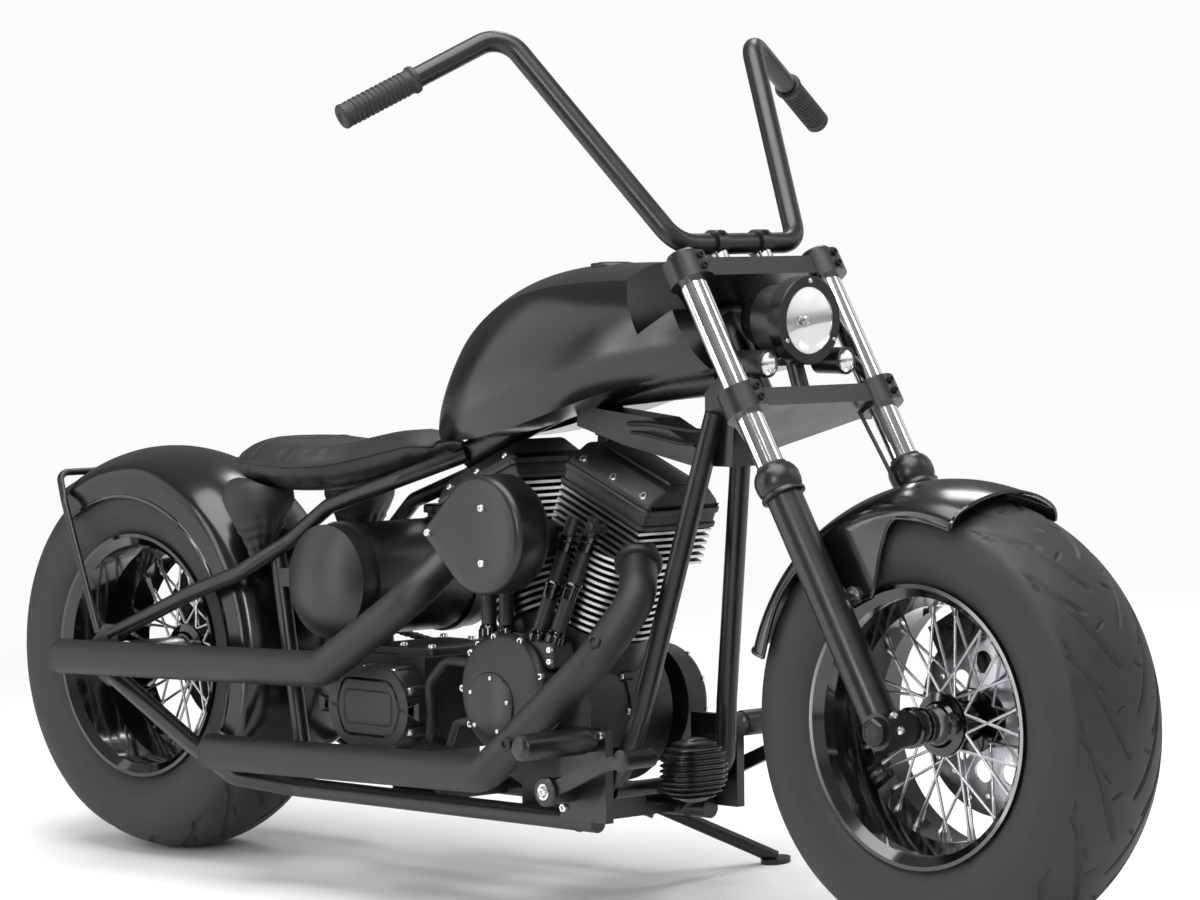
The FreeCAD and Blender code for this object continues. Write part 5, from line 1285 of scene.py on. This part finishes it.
class ExhaustTrim(Build, bpy.types.Operator):
    """Rolled lips at the pipes' mouths, flanges at the heads and two sensor plugs."""
    bl_idname = "chopper.exhaust_trim"
    bl_label = "Exhaust trim"

    def build(self, scene):
        shapes = []
        for route in (UPPER_PIPE, LOWER_PIPE):
            lip = [(26.8, 0.6), (28, -1.4), (29.4, -0.6), (29.9, 1.6), (29.2, 4.5), (26.9, 4.5)]
            shapes.append(turned(lip, route[0], route[1] - route[0], count=64, closed=True))
            flange = [(29.2, -34), (35, -33), (37, -30), (37, -24), (34, -21), (29.2, -20)]
            shapes.append(turned(flange, route[-1], route[-1] - route[-2], closed=True))
        for corner, ahead in ((1, 87.0), (2, 26.0)):
            run = unit(LOWER_PIPE[corner + 1] - LOWER_PIPE[corner])
            outwards = unit(np.cross(run, np.cross(run, Y + 0.3 * Z)))
            shapes.append(turned([(11, 18), (11, 34), (10, 36), (6, 36.4), (5.6, 33)],
                                 LOWER_PIPE[corner] + run * ahead, outwards, count=6))
        piece("exhaust_trim", joined(shapes), "pipe_coat")


PEG = np.array([1170.0, 0.0, 276.0])
PEDAL_PIVOT = np.array([1120.0, 0.0, 198.0])
PEDAL_TOE = np.array([1304.0, 0.0, 260.0])


class ControlTrim(Build, bpy.types.Operator):
    """Smooth round-ended pegs, the pedals' pivots with a bright ring, and the mounting plates' screws."""
    bl_idname = "chopper.control_trim"
    bl_label = "Forward controls"

    def build(self, scene):
        pegs = turned([(19.2, 170), (20.2, 173), (20.2, 296), (19.2, 301), (15, 304.4), (8, 305.8)], PEG, Y)
        piece("foot_pegs", both_sides(pegs), "powder_coat")
        caps = [turned([(20.4, 196), (22.5, 197), (22.5, 205), (20.5, 207), (9, 207.6), (8.4, 205.6)], PEDAL_PIVOT,
                       Y, count=40),
                turned([(15.2, 221), (16.4, 222), (16.4, 224), (14, 225.4), (5, 225.6)], PEDAL_TOE, Y, count=36)]
        piece("control_caps", both_sides(joined(caps)), "powder_coat")
        ring = turned([(7.5, 207), (12.5, 207.4), (12.5, 209.4), (10.5, 210.4), (8.5, 209.4)], PEDAL_PIVOT, Y,
                      count=40, closed=True)
        piece("pedal_rings", both_sides(ring), "zinc")
        heads = np.array([PEDAL_PIVOT + Y * 206.4, (1106, 150, 168), (1106, 150, 276), (1186, 150, 284)])
        for side, sign in (("right", -1), ("left", 1)):
            screws(side + "_control_screws", heads * (1, sign, 1), Y * sign, 6.4)


class Regulator(Build, bpy.types.Operator):
    """Voltage regulator: a rounded drum with fine level ribs, and its bracket."""
    bl_idname = "chopper.regulator"
    bl_label = "Voltage regulator"

    def build(self, scene):
        angle = np.arange(64) * 2 * math.pi / 64
        oval = signed(polar((0, 0), 1.0, angle), 0.62)

        # width falls with height z as (1 - |t|^2.6)^0.5, t from -1 to 1; a cosine of 8.3 mm pitch makes the ribs
        z = np.linspace(174.5, 271.5, 240)
        k = np.sqrt(1 - np.abs((z - 223.0) / 50.0) ** 2.6)
        rib = 2.2 * np.clip(1.6 * np.cos(2 * math.pi * (z - 173.0) / 8.3), -1, 1) * step(0.3, 0.6, k)
        shapes = [surface(np.stack([level(1235 + oval[:, 0] * (33 * w + r), oval[:, 1] * (53.5 * w + r), h)
                                    for h, w, r in zip(z, k, rib)]), round_v=True, cap_u=True)]
        bracket = rounded([(1180, -30), (1214, -30), (1214, 30), (1180, 30)], 6)
        shapes.append(pillow(bracket, [(186, 0), (204, 0)], level))
        body = piece("ribbed_regulator", joined(shapes), "powder_coat", slot="black_cast_aluminium",
                     flat_angle=50.0)
        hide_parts("regulator")


class DriveChain(Build, bpy.types.Operator):
    """Roller chain: waisted side plates and rollers at an even pitch round a loop of two arcs and two runs."""
    bl_idname = "chopper.drive_chain"
    bl_label = "Drive chain"

    def build(self, scene):
        rear, front = np.array([0.0, TYRE_R]), SHAFT[[0, 2]]
        r_rear, r_front = 111.0, 47.0
        aim = math.atan2(front[1] - rear[1], front[0] - rear[0])
        lean = math.acos((r_rear - r_front) / np.linalg.norm(front - rear))
        loop = np.vstack([polar(front, r_front, np.linspace(aim - lean, aim + lean, 80)),
                          polar(rear, r_rear, np.linspace(aim + lean, aim - lean + 2 * math.pi, 160))])
        loop = np.vstack([loop, loop[:1]])
        length = np.concatenate([[0], np.cumsum(np.linalg.norm(np.diff(loop, axis=0), axis=1))])
        count = int(round(length[-1] / 12.7 / 2) * 2)
        at = np.arange(count + 1) * length[-1] / count
        pins = on_side(1.0)(*(np.interp(at, length, column) for column in loop.T), 128.0)
        turn = np.linspace(0, 2 * math.pi, 17)[:-1]
        c, s = np.cos(turn), np.sin(turn)
        waist = np.stack([6.35 * signed(c, 0.3) + 4.4 * c, 5.2 * s * (1 - 0.28 * (np.abs(c) < 0.3))], -1)
        shapes = []
        for first, heights in ((0, ((-6.6, -5.3), (5.3, 6.6))), (1, ((-5.1, -3.8), (3.8, 5.1)))):
            plates = joined([pillow(waist, [(low, 0), (high, 0)], level) for low, high in heights])
            start, end = pins[first:-1:2], pins[first + 1::2]
            shapes.append(arrayed(plates, (start + end) / 2, Y, along=end - start))
        roller = turned([(4.2, -3.8), (4.2, 3.8)], count=10)
        shapes.append(arrayed(roller, pins[:-1], Y))
        chain = piece("roller_chain", joined(shapes), "dark_steel")
        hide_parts("final_chain")


class TankTrim(Build, bpy.types.Operator):
    """Fuel cap on its ring, fuel tap under the tank, and the oil tank's filler and drain."""
    bl_idname = "chopper.tank_trim"
    bl_label = "Tank trim"

    def build(self, scene):
        cap_at = np.array([1072.0, 0.0, 992.0])
        ring = turned([(28, -6), (37, -6), (37, 0.6), (35.5, 2.6), (31, 3.2), (28, 3.0)], cap_at, Z, count=64,
                      closed=True)
        cap = turned([(29, -3), (29, 1.6), (27.5, 3.4), (22, 4.6), (10, 5.0)], cap_at, Z, count=64)
        piece("fuel_cap_ring", ring, "powder_coat")
        piece("fuel_cap", cap, "gloss_enamel")
        tap = joined([turned([(12, 2), (12, -8), (8, -9), (8, -34), (6, -36)], (978, 62, 733), Z, count=24),
                      turned([(6, 0), (6, 14), (9, 15), (9, 20)], (978, 62, 711), Y, count=20)])
        piece("fuel_tap", tap, "dark_steel")
        oil = np.array([555.0, 0.0, 487.0])
        filler = turned([(20, -6), (20, 8), (26, 9), (26.5, 12), (26.5, 20), (24, 22.5), (10, 23.5)],
                        oil + (0, 100, 90), Z, count=40)
        drain = turned([(11, 4), (11, -6), (8, -7), (8, -14)], oil + (0, -40, -91), Z, count=6)
        piece("oil_tank_trim", joined([filler, drain]), "powder_coat", slot="black_cast_aluminium")


class FrameTrim(Build, bpy.types.Operator):
    """Bearing cups at the neck, the engine case's flange with its ears, and the axle plates' screws."""
    bl_idname = "chopper.frame_trim"
    bl_label = "Frame trim"

    def build(self, scene):
        cup = [(30.2, 0), (33.5, 0.6), (34, 3), (34, 10), (32.5, 13), (30.2, 14)]
        cups = [turned([(r, t) for r, t in cup], fork(down, -100.0), DOWN * s, count=48, closed=True)
                for down, s in ((20.0, 1), (202.0, -1))]
        piece("neck_cups", joined(cups), "powder_coat")
        flange = turned([(119, -5.5), (123.5, -5), (123.5, 5), (119, 5.5)], CRANK, Y, count=96, closed=True)
        at = np.radians([150, 176, 200, 224, 316, 338, 2, 28])
        spots = on_side()(*polar(CRANK[[0, 2]], 121, at).T, 0.0)
        ears = [turned([(8, -9), (8, 9)], spot, Y, count=20) for spot in spots]
        piece("case_flange", joined([flange] + ears), "wrinkle_cast")
        screws("case_flange_screws", spots - Y * 9, -Y, 5.4)
        for side, sign in (("right", -1), ("left", 1)):
            rows = np.array([(-29, sign * 162.0, 338.0), (29, sign * 162.0, 350.0)])
            screws(side + "_axle_plate_screws", rows, Y * sign, 5.5, "chassis", finish="black_screw")


class ChopperPanel(bpy.types.Panel):
    """Lists the chopper's pieces in the sidebar."""
    bl_idname = "VIEW3D_PT_chopper"
    bl_label = "Chopper"
    bl_space_type = "VIEW_3D"
    bl_region_type = "UI"
    bl_category = "Chopper"

    def draw(self, context):
        for group in (context.scene.chopper_sizes, context.scene.chopper_colours):
            for key in group.bl_rna.properties.keys():
                if key not in {"rna_type", "name"}:
                    self.layout.prop(group, key)
        for operator in STEPS:
            self.layout.operator(operator.bl_idname)


STEPS = (FinishSolids, Stage, Tyres, WheelTrim, Fenders, AirCleaner, RockerBoxes, CylinderTrim, CamSide,
         GearboxTrim, PrimaryTrim, Seat, Boot, Lamps, ForkTrim, BarTrim, Calipers, ExhaustTrim, ControlTrim,
         Regulator, DriveChain, TankTrim, FrameTrim)
CLASSES = (ChopperSizes, ChopperColours, *STEPS, ChopperPanel)


def register():
    for entry in CLASSES:
        bpy.utils.register_class(entry)
    bpy.types.Scene.chopper_sizes = bpy.props.PointerProperty(type=ChopperSizes)
    bpy.types.Scene.chopper_colours = bpy.props.PointerProperty(type=ChopperColours)


def unregister():
    del bpy.types.Scene.chopper_colours
    del bpy.types.Scene.chopper_sizes
    for entry in reversed(CLASSES):
        bpy.utils.unregister_class(entry)


def main():
    """Registers the classes and runs the operators in order."""
    register()
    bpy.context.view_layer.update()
    for operator in STEPS:
        space, name = operator.bl_idname.split(".")
        getattr(getattr(bpy.ops, space), name)()


if __name__ == "__main__":
    main()
